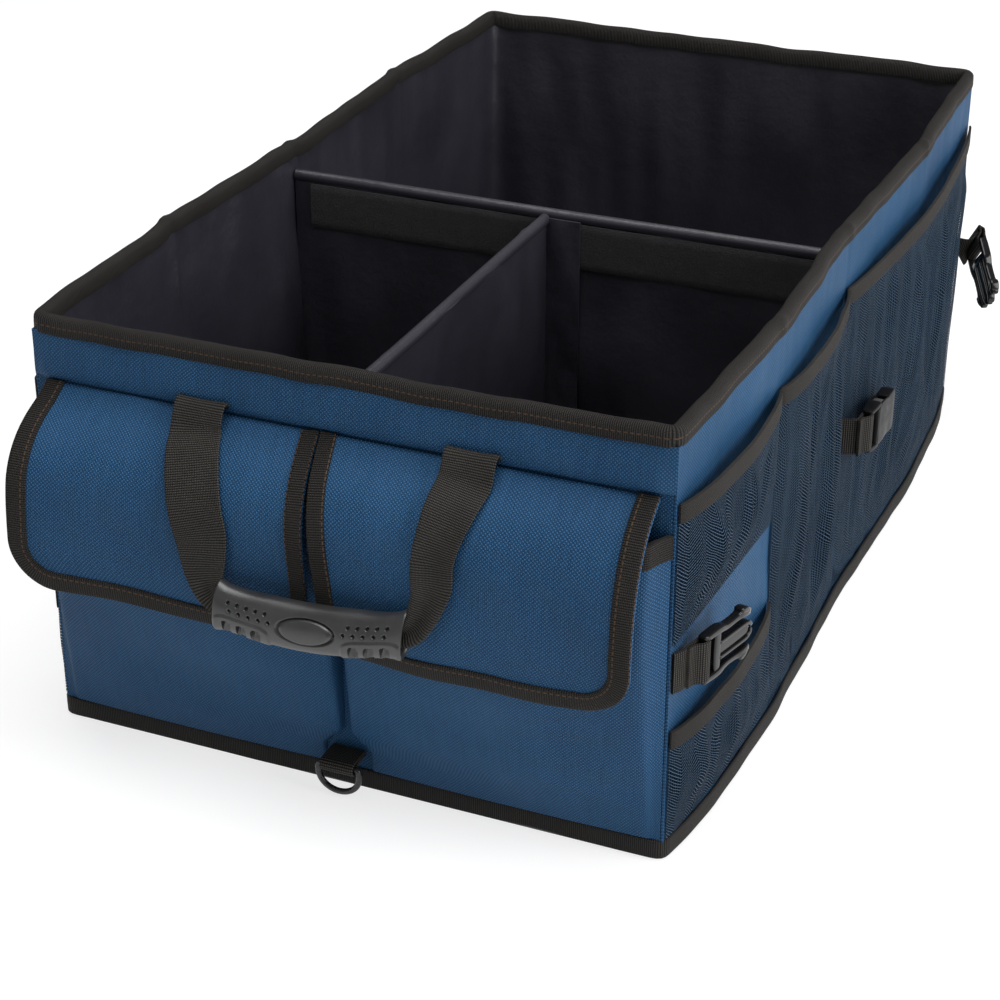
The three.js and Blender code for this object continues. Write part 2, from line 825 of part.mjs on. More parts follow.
function hungBuckle(name, geometry, seat, side) {
  const buckle = piece(name, geometry, glossPlastic);
  buckle.position.set(side * seat.bar[0], seat.bar[1], seat.bar[2]);
  const droop = -THREE.MathUtils.degToRad(seat.droop);
  buckle.rotation.set(droop, 0, side * THREE.MathUtils.degToRad(seat.turn), "ZXY");
  return buckle;
}

// Assembly
function endAssembly(end, near, far) {
  const pocket = endPocket();
  const flap = pocketFlap();
  const group = new THREE.Group();
  group.name = `${end}_end`;
  group.add(
    piece(`${end}_panel`, endPanel(), blueCloth),
    piece(`${end}_board`, endBoard(), greyBoard),
    piece(`${end}_pocket_${near}`, pocket, blueCloth),
    piece(`${end}_pocket_${far}`, mirrored(pocket), blueCloth),
    piece(`${end}_flap_${near}`, flap, blueCloth),
    piece(`${end}_flap_${far}`, mirrored(flap), blueCloth),
    piece(`${end}_handle_webbing`, handleStrap(), darkTape),
    piece(`${end}_handle_grip`, handleGrip(), gripRubber),
    piece(`${end}_ring_tab`, ringTab(), darkTape),
    piece(`${end}_d_ring`, dRing(), blackMetal),
  );
  return group;
}

const meshPockets = {
  upper: meshPocket(-halfLength + meshSeam, frontFoldY - meshSeam / 2, meshUpperBottom, meshTop),
  lower: meshPocket(-halfLength + meshSeam, frontFoldY - meshSeam / 2, footHeight + 2 * gap, meshLowerTop),
  middle: meshPocket(frontFoldY + meshSeam / 2, dividerY - meshSeam, footHeight + 2 * gap, meshTop),
  long: meshPocket(dividerY + meshSeam, halfLength - meshSeam, footHeight + 2 * gap, meshTop),
};
const buckleForms = { front: bucklePlug(), middle: buckleSocket(), rear: bucklePlug() };

function wallAssembly(wall, side) {
  const handed = (geometry) => (side > 0 ? geometry : mirrored(geometry));
  const group = new THREE.Group();
  group.name = `${wall}_wall`;
  group.add(piece(`${wall}_side_panel`, handed(sidePanel()), blueCloth));
  sideBoards.forEach((plank, index) => {
    group.add(piece(`${wall}_board_${index + 1}`, handed(plank), greyBoard));
  });
  for (const [place, pocket] of Object.entries(meshPockets)) {
    group.add(piece(`${wall}_mesh_${place}`, handed(pocket), darkMesh));
  }
  for (const [place, seat] of Object.entries(buckleSeats)) {
    group.add(piece(`${wall}_${place}_tab`, handed(buckleTab(seat)), darkTape));
    group.add(hungBuckle(`${wall}_${place}_buckle`, buckleForms[place], seat, side));
  }
  return group;
}

const rearEnd = endAssembly("rear", "left", "right");
rearEnd.rotation.z = Math.PI;

const organizer = new THREE.Group();
organizer.name = "trunk_organizer";
organizer.add(
  endAssembly("front", "right", "left"),
  rearEnd,
  wallAssembly("right", 1),
  wallAssembly("left", -1),
  piece("base_panel", basePanel(), darkTape),
  piece("base_board", upright(outline(plan(boardDepth)), wallFoot, wallFoot + baseBoard), greyBoard),
  piece("lining", lining(), satinLining),
  piece("rim_binding", rimBinding(), darkTape),
  piece("cross_divider", crossDivider(), satinLining),
  piece("cross_divider_loop_tape", loopTape(crossTapeFace), darkTape),
  piece("front_wall_loop_tape", loopTape(wallTapeFace - tapeThickness), darkTape),
  piece("small_divider", smallDivider(), satinLining),
);

export default organizer;
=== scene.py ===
"""A collapsible trunk organizer: its cloth, tapes, nets, handles and clips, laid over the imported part."""

import logging
import math
from dataclasses import dataclass, field
from enum import Enum
from typing import Callable, Optional, Sequence, Union

import bmesh
import bpy
import numpy as np
from mathutils import Matrix, Vector


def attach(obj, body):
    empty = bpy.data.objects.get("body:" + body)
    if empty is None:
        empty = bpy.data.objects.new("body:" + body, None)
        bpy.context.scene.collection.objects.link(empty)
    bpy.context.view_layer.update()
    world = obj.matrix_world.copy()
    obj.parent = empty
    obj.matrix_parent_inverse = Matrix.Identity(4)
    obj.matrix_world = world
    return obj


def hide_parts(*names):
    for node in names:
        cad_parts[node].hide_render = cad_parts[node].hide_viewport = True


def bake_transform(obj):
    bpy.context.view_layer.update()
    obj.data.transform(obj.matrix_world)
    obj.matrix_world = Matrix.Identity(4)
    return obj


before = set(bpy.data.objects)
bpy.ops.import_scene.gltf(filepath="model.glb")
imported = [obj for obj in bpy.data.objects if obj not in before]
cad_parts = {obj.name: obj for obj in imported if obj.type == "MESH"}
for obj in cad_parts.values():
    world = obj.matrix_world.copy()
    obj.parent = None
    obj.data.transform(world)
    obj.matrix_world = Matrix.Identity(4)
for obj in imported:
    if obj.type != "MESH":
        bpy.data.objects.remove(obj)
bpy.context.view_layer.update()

MM = 0.001
CLOTH_LAYER = "cloth"
SHELL = "shell"
CURVE_STEPS = 24
CRISP_ANGLE = 42.0
log = logging.getLogger("trunk_organizer")

Points = np.ndarray
Finish = Union["Wire", float, tuple]
Lift = Callable[[Points, Points], tuple[Points, Points]]


class End(Enum):
    """The two short ends of the box; the rear one is the front one turned half round."""

    FRONT = "front"
    REAR = "rear"

    def place(self, points: Points) -> Points:
        """Returns points of the front end where they belong on this end."""
        return points if self is End.FRONT else points * np.array([-1.0, -1.0, 1.0])

    def half(self, side: "Side", points: Points) -> Points:
        """Returns points of the front end's right half where they belong on one half of this end."""
        return self.place(side.place(points))

    def side_name(self, side: "Side") -> str:
        """Returns which side of the box a half of this end lies on."""
        near = self is End.FRONT
        return side.value if near else (Side.LEFT if side is Side.RIGHT else Side.RIGHT).value


class Side(Enum):
    """The two long sides of the box; the left one mirrors the right one."""

    RIGHT = "right"
    LEFT = "left"

    def place(self, points: Points) -> Points:
        """Returns points of the right side where they belong on this side."""
        return points if self is Side.RIGHT else points * np.array([-1.0, 1.0, 1.0])


class Slot(Enum):
    """The material slots of the record."""

    CLOTH = "blue_cloth"
    LINING = "satin_lining"
    TAPE = "binding_tape"
    NET = "pocket_net"
    RUBBER = "grip_rubber"
    PLASTIC = "buckle_plastic"
    METAL = "ring_metal"


class Wire:
    """A number, colour or vector on its way through the nodes of one finish."""

    def __init__(self, bench: "NodeBench", socket: bpy.types.NodeSocket) -> None:
        """Keeps the bench that the socket is on, and the socket."""
        self.bench = bench
        self.socket = socket

    def __add__(self, other: Finish) -> "Wire":
        """Returns the sum."""
        return self.bench.maths("ADD", self, other)

    __radd__ = __add__

    def __sub__(self, other: Finish) -> "Wire":
        """Returns the difference."""
        return self.bench.maths("SUBTRACT", self, other)

    def __rsub__(self, other: Finish) -> "Wire":
        """Returns the difference from a plain number."""
        return self.bench.maths("SUBTRACT", other, self)

    def __mul__(self, other: Finish) -> "Wire":
        """Returns the product."""
        return self.bench.maths("MULTIPLY", self, other)

    __rmul__ = __mul__

    def __truediv__(self, other: Finish) -> "Wire":
        """Returns the quotient."""
        return self.bench.maths("DIVIDE", self, other)

    def __rtruediv__(self, other: Finish) -> "Wire":
        """Returns a plain number divided by the wire."""
        return self.bench.maths("DIVIDE", other, self)

    def __abs__(self) -> "Wire":
        """Returns the size without its sign."""
        return self.bench.maths("ABSOLUTE", self)

    def __pow__(self, other: Finish) -> "Wire":
        """Returns the power."""
        return self.bench.maths("POWER", self, other)


class NodeBench:
    """Lays out the nodes of one finish, or of the room's light."""

    def __init__(self, owner: Union[bpy.types.Material, bpy.types.World]) -> None:
        """Empties the nodes of a material or a world.

        Args:
            owner: the material or world.
        """
        self.owner = owner
        owner.use_nodes = True
        self.tree = owner.node_tree
        self.tree.nodes.clear()

    @classmethod
    def named(cls, name: str) -> "NodeBench":
        """Returns a bench for a new material of that name."""
        return cls(bpy.data.materials.new(name))

    def node(
        self, kind: str, settings: Optional[dict] = None, inputs: Optional[dict] = None
    ) -> bpy.types.Node:
        """Makes any node.

        Args:
            kind: the node's type without its ShaderNode prefix.
            settings: its options, set first.
            inputs: socket name or number to a value or wire.

        Returns:
            The node.
        """
        made = self.tree.nodes.new("ShaderNode" + kind)
        for key, value in (settings or {}).items():
            setattr(made, key, value)
        for key, value in (inputs or {}).items():
            socket = made.inputs[key]
            if isinstance(value, Wire):
                self.tree.links.new(value.socket, socket)
            elif isinstance(value, tuple) and len(value) == 3 and len(socket.default_value) == 4:
                socket.default_value = (*value, 1.0)
            else:
                socket.default_value = value
        return made

    def wire(self, made: bpy.types.Node, output: Union[str, int] = 0) -> Wire:
        """Returns one output of a node as a wire."""
        return Wire(self, made.outputs[output])

    def maths(self, operation: str, *values: Finish) -> Wire:
        """Returns a Math node's result on one to three values."""
        return self.wire(self.node("Math", {"operation": operation}, dict(enumerate(values))))

    def sine(self, value: Finish) -> Wire:
        """Returns the sine."""
        return self.maths("SINE", value)

    def ramp(self, value: Wire, low: float, high: float, start: float = 0.0, end: float = 1.0) -> Wire:
        """Eases a value from one number to another.

        Args:
            value: what is read.
            low: where it starts to turn.
            high: where it has turned.
            start: what comes out below low.
            end: what comes out above high.

        Returns:
            The eased value.
        """
        settings = {"interpolation_type": "SMOOTHSTEP"}
        inputs = {"Value": value, "From Min": low, "From Max": high, "To Min": start, "To Max": end}
        return self.wire(self.node("MapRange", settings, inputs))

    def mix(self, factor: Finish, first: Finish, second: Finish) -> Wire:
        """Returns two colours mixed by a factor."""
        return self.wire(self.node("Mix", {"data_type": "RGBA"}, {0: factor, 6: first, 7: second}), 2)

    def cloth_plane(self) -> tuple[Wire, Wire, Wire]:
        """Reads the cloth layer.

        Returns:
            (across, along) in millimetres, and a vector in metres.
        """
        layer = self.node("UVMap", {"uv_map": CLOTH_LAYER})
        parts = self.node("SeparateXYZ", None, {0: self.wire(layer)})
        return self.wire(parts, 0) * (1 / MM), self.wire(parts, 1) * (1 / MM), self.wire(layer)

    def spot(self) -> Wire:
        """Returns the place on the object in its own metres."""
        return self.wire(self.node("TexCoord"), "Object")

    def noise(self, place: Wire, scale: float, detail: float = 2.0, rough: float = 0.5) -> Wire:
        """Returns cloudy noise from 0 to 1; scale counts its features in a metre."""
        inputs = {"Vector": place, "Scale": scale, "Detail": detail, "Roughness": rough}
        return self.wire(self.node("TexNoise", None, inputs))

    def stretched(self, place: Wire, scale: tuple[float, float, float]) -> Wire:
        """Returns a vector with each axis multiplied."""
        return self.wire(self.node("VectorMath", {"operation": "MULTIPLY"}, {0: place, 1: scale}))

    def slanted(self, place: Wire, turn: float, scale: float) -> Wire:
        """Returns a vector turned in its plane, in radians, with its second axis multiplied."""
        inputs = {"Vector": place, "Rotation": (0.0, 0.0, turn), "Scale": (1.0, scale, 1.0)}
        return self.wire(self.node("Mapping", None, inputs))

    def checks(self, across: Wire, along: Wire, pitch: float) -> Wire:
        """Returns a plain weave's over and under, from -1 to 1, at a pitch in millimetres."""
        return self.sine(across * (math.pi / pitch)) * self.sine(along * (math.pi / pitch))

    def bump(self, height: Wire, depth_mm: float, under: Optional[Wire] = None) -> Wire:
        """Raises the surface by a height.

        Args:
            height: from 0 to 1.
            depth_mm: what its full step is.
            under: a normal it lies on.

        Returns:
            The normal.
        """
        inputs = {"Height": height, "Distance": depth_mm * MM, "Strength": 1.0}
        if under is not None:
            inputs["Normal"] = under
        return self.wire(self.node("Bump", None, inputs))

    def finish(self, **sockets: Finish) -> bpy.types.Material:
        """Ends the material in one surface shader.

        Args:
            sockets: values or wires by socket name, with _ for a space.

        Returns:
            The material.
        """
        inputs = {key.replace("_", " "): value for key, value in sockets.items()}
        shader = self.node("BsdfPrincipled", None, inputs)
        self.node("OutputMaterial", None, {"Surface": self.wire(shader)})
        return self.owner


@dataclass(frozen=True)
class WovenCloth:
    """Coated polyester in a plain weave of round yarns."""

    name: str = "woven_blue_cloth"
    deep: tuple = (0.003, 0.03, 0.084)
    light: tuple = (0.052, 0.18, 0.37)
    pitch: float = 1.1
    relief: float = 0.3
    softness: float = 3.3

    def material(self) -> bpy.types.Material:
        """Makes the cloth's look.

        Returns:
            The material.
        """
        bench = NodeBench.named(self.name)
        across, along, plane = bench.cloth_plane()
        drift = bench.noise(plane, 180.0, 1.0)
        warp = bench.sine(across * (math.pi / self.pitch) + drift * 0.9)
        weft = bench.sine(along * (math.pi / self.pitch) + drift * 0.7)
        check = warp * weft
        yarn = bench.ramp(check, -0.35, 0.75) + abs(check) * 0.25
        tone = bench.noise(bench.spot(), 9.0, 3.0)
        thread = bench.noise(bench.stretched(plane, (1.0, 0.04, 1.0)), 900.0, 1.0)
        lit = yarn * 0.52 + (tone - 0.5) * 0.32 + (thread - 0.5) * 0.2 + 0.09
        colour = bench.mix(lit, self.deep, self.light)
        creases = bench.noise(bench.slanted(plane, 0.75, 0.22), 34.0, 1.0)
        soft = bench.bump(bench.noise(bench.spot(), 22.0, 2.0) * 0.6 + creases, self.softness)
        return bench.finish(
            Base_Color=colour,
            Roughness=0.6,
            Specular_IOR_Level=0.2,
            Normal=bench.bump(yarn, self.relief, soft),
        )


@dataclass(frozen=True)
class SatinLining:
    """Thin near-black nylon with a satin shine and soft creases."""

    name: str = "satin_black_lining"
    colour: tuple = (0.021, 0.0203, 0.0275)
    pale: float = 1.7
    pitch: float = 0.5
    weave_relief: float = 0.05
    crease_relief: float = 8.0

    def material(self) -> bpy.types.Material:
        """Makes the lining's look.

        Returns:
            The material.
        """
        bench = NodeBench.named(self.name)
        across, along, plane = bench.cloth_plane()
        weave = bench.checks(across, along, self.pitch)
        long_folds = bench.noise(bench.stretched(plane, (1.0, 0.3, 1.0)), 22.0, 1.0)
        pucker = bench.noise(plane, 75.0, 3.0, 0.6)
        creases = bench.noise(bench.slanted(plane, -0.6, 0.45), 17.0, 1.0)
        tone = bench.noise(plane, 14.0, 2.0)
        creased = bench.bump(long_folds + pucker * 0.08 + creases * 1.1, self.crease_relief)
        return bench.finish(
            Base_Color=bench.mix(tone, self.colour, tuple(self.pale * part for part in self.colour)),
            Roughness=bench.ramp(tone, 0.2, 0.8, 0.27, 0.4),
            Specular_IOR_Level=0.65,
            Normal=bench.bump(abs(weave), self.weave_relief, creased),
        )


@dataclass(frozen=True)
class RibbedTape:
    """Woven tape with ribs across it and a row of stitches along its edges."""

    name: str
    rib: float
    half_width: float
    stitch_inset: float = 1.6
    stitch_step: float = 3.4
    dark: tuple = (0.003, 0.0027, 0.0025)
    light: tuple = (0.066, 0.06, 0.053)
    thread: tuple = (0.085, 0.05, 0.03)
    stitched: bool = True
    grid: float = 0.5
    strand: float = 0.75
    crisp: float = 1.2
    relief: float = 0.45

    def material(self) -> bpy.types.Material:
        """Makes the tape's look.

        Returns:
            The material.
        """
        bench = NodeBench.named(self.name)
        across, along, plane = bench.cloth_plane()
        drift = bench.noise(plane, 120.0, 1.0)
        ribs = abs(bench.sine(along * (math.pi / self.rib) + drift * 0.5))
        strands = abs(bench.sine(across * (math.pi / self.strand)))
        cord = ribs ** self.crisp * (strands * self.grid + (1.0 - self.grid))
        grain = bench.noise(plane, 1400.0, 1.0)
        lit = cord * 0.85 + (grain - 0.5) * 0.3 + (bench.noise(plane, 30.0) - 0.5) * 0.25 - 0.05
        colour = bench.mix(lit, self.dark, self.light)
        height = cord
        if self.stitched:
            from_row = abs(abs(across) - (self.half_width - self.stitch_inset))
            row = bench.ramp(from_row, 0.25, 0.55, 1.0, 0.0)
            dash = bench.ramp(bench.sine(along * (2 * math.pi / self.stitch_step)), -0.55, -0.25)
            stitch = row * dash
            colour = bench.mix(stitch, colour, self.thread)
            height = cord * (1.0 - row * 0.9) + stitch * 0.9
        return bench.finish(
            Base_Color=colour,
            Roughness=0.68,
            Specular_IOR_Level=0.18,
            Normal=bench.bump(height, self.relief),
        )


@dataclass(frozen=True)
class PocketNet:
    """Knitted polyester net: slanting rows of short stitches that turn back in bands, with holes; the stitch
    crests are painted pale as a highlight and the yarn round them painted darker as shade.
    """

    name: str = "knitted_pocket_net"
    pitch: float = 1.5
    row: float = 1.9
    band: float = 13.0
    # dark is the net's dark yarn, darkened further as painted shade; light is a painted highlight on the
    # stitch crests.
    dark: tuple = (0.0016, 0.0068, 0.0155)
    light: tuple = (0.1, 0.155, 0.23)
    relief: float = 0.35

    def material(self) -> bpy.types.Material:
        """Makes the net's look.

        Returns:
            The material.
        """
        bench = NodeBench.named(self.name)
        across, along, plane = bench.cloth_plane()
        drift = bench.noise(plane, 45.0, 1.0)
        turned = bench.maths("PINGPONG", across + drift * 9.0, self.band)
        wave = bench.sine((along + turned * 0.8 + drift * 1.5) * (2 * math.pi / self.row))
        between = abs(bench.sine(across * (math.pi / self.pitch)))
        # stitch marks the stitch crests: they take the painted highlight in the colour below and rise in the
        # bump.
        stitch = bench.ramp(wave, 0.35, 1.0) * (between * 0.65 + 0.35)
        hole = bench.ramp(wave, -0.2, -0.75) * bench.ramp(between, 0.25, 0.6)
        tone = bench.noise(bench.spot(), 16.0, 2.0)
        # Painted highlight and shade: the stitch crests are mixed towards the pale colour and the yarn
        # between stays dark; tone adds random unevenness.
        colour = bench.mix(stitch * 1.1 + (tone - 0.5) * 0.25, self.dark, self.light)
        return bench.finish(
            Base_Color=colour,
            Roughness=0.7,
            Specular_IOR_Level=0.05,
            Alpha=1.0 - hole,
            Normal=bench.bump(stitch, self.relief),
        )


@dataclass(frozen=True)
class GripRubber:
    """Moulded dark grey rubber with a fine sparked grain."""

    name: str = "moulded_grip_rubber"
    dark: tuple = (0.02, 0.02, 0.0205)
    light: tuple = (0.058, 0.058, 0.0595)

    def material(self) -> bpy.types.Material:
        """Makes the rubber's look.

        Returns:
            The material.
        """
        bench = NodeBench.named(self.name)
        grain = bench.noise(bench.spot(), 2600.0, 1.0)
        worn = bench.noise(bench.spot(), 60.0, 3.0)
        return bench.finish(
            Base_Color=bench.mix(worn * 0.7 + (grain - 0.5) * 0.5, self.dark, self.light),
            Roughness=bench.ramp(worn, 0.3, 0.7, 0.28, 0.38),
            Specular_IOR_Level=0.8,
            Normal=bench.bump(grain, 0.05),
        )


@dataclass(frozen=True)
class ClipPlastic:
    """Injection-moulded black acetal, glossy with light handling marks."""

    name: str = "moulded_clip_plastic"
    colour: tuple = (0.0055, 0.0055, 0.006)
    marked: float = 2.2
    gloss: float = 0.4
    smooth: float = 0.08

    def material(self) -> bpy.types.Material:
        """Makes the plastic's look.

        Returns:
            The material.
        """
        bench = NodeBench.named(self.name)
        grain = bench.noise(bench.spot(), 1500.0, 1.0)
        marks = bench.noise(bench.spot(), 120.0, 4.0, 0.65)
        return bench.finish(
            Base_Color=bench.mix(marks, self.colour, tuple(self.marked * part for part in self.colour)),
            Roughness=bench.ramp(marks, 0.35, 0.75, self.smooth, self.smooth + 0.12),
            Specular_IOR_Level=self.gloss,
            Normal=bench.bump(grain, 0.008),
        )


@dataclass(frozen=True)
class PlatedWire:
    """Black plated steel wire."""

    name: str = "black_plated_wire"
    dark: tuple = (0.02, 0.02, 0.0215)
    light: tuple = (0.085, 0.085, 0.088)

    def material(self) -> bpy.types.Material:
        """Makes the wire's look.

        Returns:
            The material.
        """
        bench = NodeBench.named(self.name)
        marks = bench.noise(bench.spot(), 300.0, 3.0, 0.6)
        return bench.finish(
            Base_Color=bench.mix(marks, self.dark, self.light),
            Metallic=0.9,
            Roughness=bench.ramp(marks, 0.3, 0.7, 0.22, 0.4),
            Normal=bench.bump(marks, 0.02),
        )


@dataclass(frozen=True)
class StiffenerSheet:
    """Pressed grey board inside the walls and floor."""

    name: str = "pressed_stiffener_board"
    dark: tuple = (0.09, 0.08, 0.068)
    light: tuple = (0.18, 0.165, 0.14)

    def material(self) -> bpy.types.Material:
        """Makes the board's look.

        Returns:
            The material.
        """
        bench = NodeBench.named(self.name)
        fibre = bench.noise(bench.stretched(bench.spot(), (1.0, 1.0, 0.3)), 500.0, 4.0, 0.7)
        return bench.finish(
            Base_Color=bench.mix(fibre, self.dark, self.light),
            Roughness=0.85,
            Normal=bench.bump(fibre, 0.12),
        )


@dataclass(frozen=True)
class FuzzyTape:
    """The loop half of hook-and-loop tape, a dense dull pile."""

    name: str = "fuzzy_loop_tape"
    dark: tuple = (0.0065, 0.0065, 0.0075)
    light: tuple = (0.048, 0.046, 0.05)

    def material(self) -> bpy.types.Material:
        """Makes the tape's look.

        Returns:
            The material.
        """
        bench = NodeBench.named(self.name)
        pile = bench.noise(bench.spot(), 900.0, 4.0, 0.75)
        clumps = bench.noise(bench.spot(), 140.0, 3.0, 0.6)
        return bench.finish(
            Base_Color=bench.mix(pile * 0.6 + clumps * 0.4, self.dark, self.light),
            Roughness=0.95,
            Specular_IOR_Level=0.15,
            Sheen_Weight=0.12,
            Sheen_Roughness=0.6,
            Normal=bench.bump(pile + clumps * 0.5, 0.7),
        )


@dataclass(frozen=True)
class PaleGround:
    """The white floor, which keeps the object's shadow."""

    name: str = "pale_ground"
    grey: float = 0.9
    shade_hidden: float = 0.55
    shown_glow: float = 0.72

    def material(self) -> bpy.types.Material:
        """Makes the floor's look.

        Returns:
            The material.
        """
        bench = NodeBench.named(self.name)
        shade = bench.node("BsdfDiffuse", None, {"Color": (self.grey,) * 3})
        path = bench.node("LightPath")
        seen = bench.maths("MAXIMUM", bench.wire(path, "Is Camera Ray"), bench.wire(path, "Is Glossy Ray"))
        seen = bench.maths("MAXIMUM", seen, bench.wire(path, "Is Transmission Ray"))
        dimmed = bench.node("MixShader", None, {0: seen * self.shade_hidden, 1: bench.wire(shade)})
        shine = {"Color": (1.0, 1.0, 1.0), "Strength": seen * self.shown_glow}
        glow = bench.node("Emission", None, shine)
        both = bench.node("AddShader", None, {0: bench.wire(dimmed), 1: bench.wire(glow)})
        bench.node("OutputMaterial", None, {"Surface": bench.wire(both)})
        return bench.owner


@dataclass
class Wardrobe:
    """Every finish of the object, each made once."""

    cloth: bpy.types.Material = field(default_factory=WovenCloth().material)
    lining: bpy.types.Material = field(default_factory=SatinLining().material)
    rim_tape: bpy.types.Material = field(default_factory=RibbedTape(
        "rim_binding_tape", 1.15, 13.2, 1.8, light=(0.078, 0.072, 0.067), crisp=1.6, grid=0.75
    ).material)
    edge_tape: bpy.types.Material = field(default_factory=RibbedTape(
        "edge_binding_tape", 1.35, 6.0, 1.3, light=(0.058, 0.054, 0.048), crisp=1.7, grid=0.65, strand=0.95
    ).material)
    elastic: bpy.types.Material = field(default_factory=RibbedTape(
        "elastic_mouth_tape", 0.9, 5.5, 1.6, stitched=False
    ).material)
    strap: bpy.types.Material = field(default_factory=RibbedTape(
        "handle_webbing", 1.3, 15.0, light=(0.105, 0.1, 0.089), stitched=False,
        grid=0.85, strand=0.95, crisp=1.5, relief=0.3,
    ).material)
    clip_strap: bpy.types.Material = field(default_factory=RibbedTape(
        "clip_webbing", 1.35, 12.5, light=(0.115, 0.106, 0.093), stitched=False,
        grid=0.85, strand=1.35, crisp=2.0,
    ).material)
    net: bpy.types.Material = field(default_factory=PocketNet().material)
    rubber: bpy.types.Material = field(default_factory=GripRubber().material)
    plug_plastic: bpy.types.Material = field(default_factory=ClipPlastic().material)
    socket_plastic: bpy.types.Material = field(default_factory=ClipPlastic(
        "moulded_socket_plastic", gloss=0.08, smooth=0.3
    ).material)
    wire: bpy.types.Material = field(default_factory=PlatedWire().material)
    board: bpy.types.Material = field(default_factory=StiffenerSheet().material)
    fuzz: bpy.types.Material = field(default_factory=FuzzyTape().material)
    ground: bpy.types.Material = field(default_factory=PaleGround().material)


class Rumple:
    """Smooth, repeatable unevenness over a piece of cloth."""

    def __init__(self, seed: int, size: float, waves: int = 9) -> None:
        """Draws the waves.

        Args:
            seed: the number the waves are drawn from.
            size: their usual length in millimetres.
            waves: how many there are.
        """
        chance = np.random.default_rng(seed)
        turn = chance.uniform(0, 2 * math.pi, waves)
        rate = 2 * math.pi / (size * chance.uniform(0.6, 1.9, waves))
        self.rates = np.stack([rate * np.cos(turn), rate * np.sin(turn)])
        self.starts = chance.uniform(0, 2 * math.pi, waves)
        self.scale = math.sqrt(2 / waves)

    def __call__(self, across: Points, along: Points) -> Points:
        """Sums the waves.

        Args:
            across: places along one axis.
            along: places along the other.

        Returns:
            The heights, mostly from -1 to 1.
        """
        total = np.zeros(np.broadcast(across, along).shape)
        for rate_a, rate_b, start in zip(*self.rates, self.starts):
            total = total + np.sin(rate_a * across + rate_b * along + start)
        return total * self.scale


def spaced(start: float, end: float, count: int) -> Points:
    """Returns count + 1 evenly spaced numbers."""
    return np.linspace(start, end, count + 1)


def grid(x: Points, y: Points, z: Points) -> Points:
    """Returns points from their three parts, each a number or an array that fits the others."""
    return np.stack(np.broadcast_arrays(x, y, z), axis=-1)


def circle(count: int) -> Points:
    """Returns points round a circle of radius 1 as (across, up)."""
    turn = spaced(0, 2 * math.pi, count)[:-1]
    return np.stack([np.cos(turn), np.sin(turn)], axis=1)


def bulged(value: Points, power: float) -> Points:
    """Returns value raised to a power, with its sign kept."""
    return np.sign(value) * np.abs(value) ** power


def ridge(distance: Points, width: float) -> Points:
    """Returns a smooth bump of height 1 at distance 0."""
    return np.exp(-((distance / width) ** 2))


def ease(value: Points, low: float, high: float) -> Points:
    """Returns value eased from 0 at low to 1 at high."""
    part = np.clip((value - low) / (high - low), 0, 1)
    return part * part * (3 - 2 * part)


def lengths(points: Points) -> Points:
    """Returns the distance along a line of points, from 0."""
    return np.concatenate([[0.0], np.cumsum(np.linalg.norm(np.diff(points, axis=0), axis=1))])


def smooth_path(knots: Sequence[Sequence[float]], count: int) -> Points:
    """Runs a smooth curve through knots.

    Args:
        knots: points it passes through.
        count: how many equal steps it is cut into.

    Returns:
        count + 1 points.
    """
    given = np.array(knots, float)
    padded = np.vstack([2 * given[0] - given[1], given, 2 * given[-1] - given[-2]])
    part = np.linspace(0, 1, CURVE_STEPS, endpoint=False)[:, None]
    curves = []
    for before, start, end, after in zip(padded, padded[1:], padded[2:], padded[3:]):
        slope = (end - before) * part
        bend = (2 * before - 5 * start + 4 * end - after) * part**2
        turn = (3 * start - before - 3 * end + after) * part**3
        curves.append(0.5 * (2 * start + slope + bend + turn))
    dense = np.vstack([*curves, given[-1:]])
    travel = lengths(dense)
    wanted = np.linspace(0, travel[-1], count + 1)
    return np.stack([np.interp(wanted, travel, column) for column in dense.T], axis=1)


def unit(vectors: Points) -> Points:
    """Returns the vectors at length 1."""
    return vectors / np.maximum(np.linalg.norm(vectors, axis=-1, keepdims=True), 1e-9)


def headings(path: Points, closed: bool = False) -> Points:
    """Works out which way a path runs.

    Args:
        path: its points.
        closed: whether its ends meet.

    Returns:
        The direction at each point.
    """
    if closed:
        return unit(np.roll(path, -1, axis=0) - np.roll(path, 1, axis=0))
    return unit(np.gradient(path, axis=0))


@dataclass
class Piece:
    """One mesh of the object on its way into the scene."""

    name: str
    vertices: Points
    faces: list
    plane: Points

    def build(self, material: bpy.types.Material, sharp: float = CRISP_ANGLE) -> bpy.types.Object:
        """Makes the Blender object.

        Args:
            material: its finish.
            sharp: edges that turn more than this, in degrees, stay crisp.

        Returns:
            The object, in metres.
        """
        mesh = bpy.data.meshes.new(self.name)
        mesh.from_pydata((self.vertices * MM).tolist(), [], self.faces)
        layer = mesh.uv_layers.new(name=CLOTH_LAYER)
        layer.data.foreach_set("uv", (self.plane * MM).astype(np.float32).ravel())
        work = bmesh.new()
        work.from_mesh(mesh)
        bmesh.ops.recalc_face_normals(work, faces=work.faces)
        work.to_mesh(mesh)
        work.free()
        mesh.polygons.foreach_set("use_smooth", [True] * len(mesh.polygons))
        mesh.set_sharp_from_angle(angle=math.radians(sharp))
        mesh.materials.append(material)
        made = bpy.data.objects.new(self.name, mesh)
        bpy.context.scene.collection.objects.link(made)
        return made


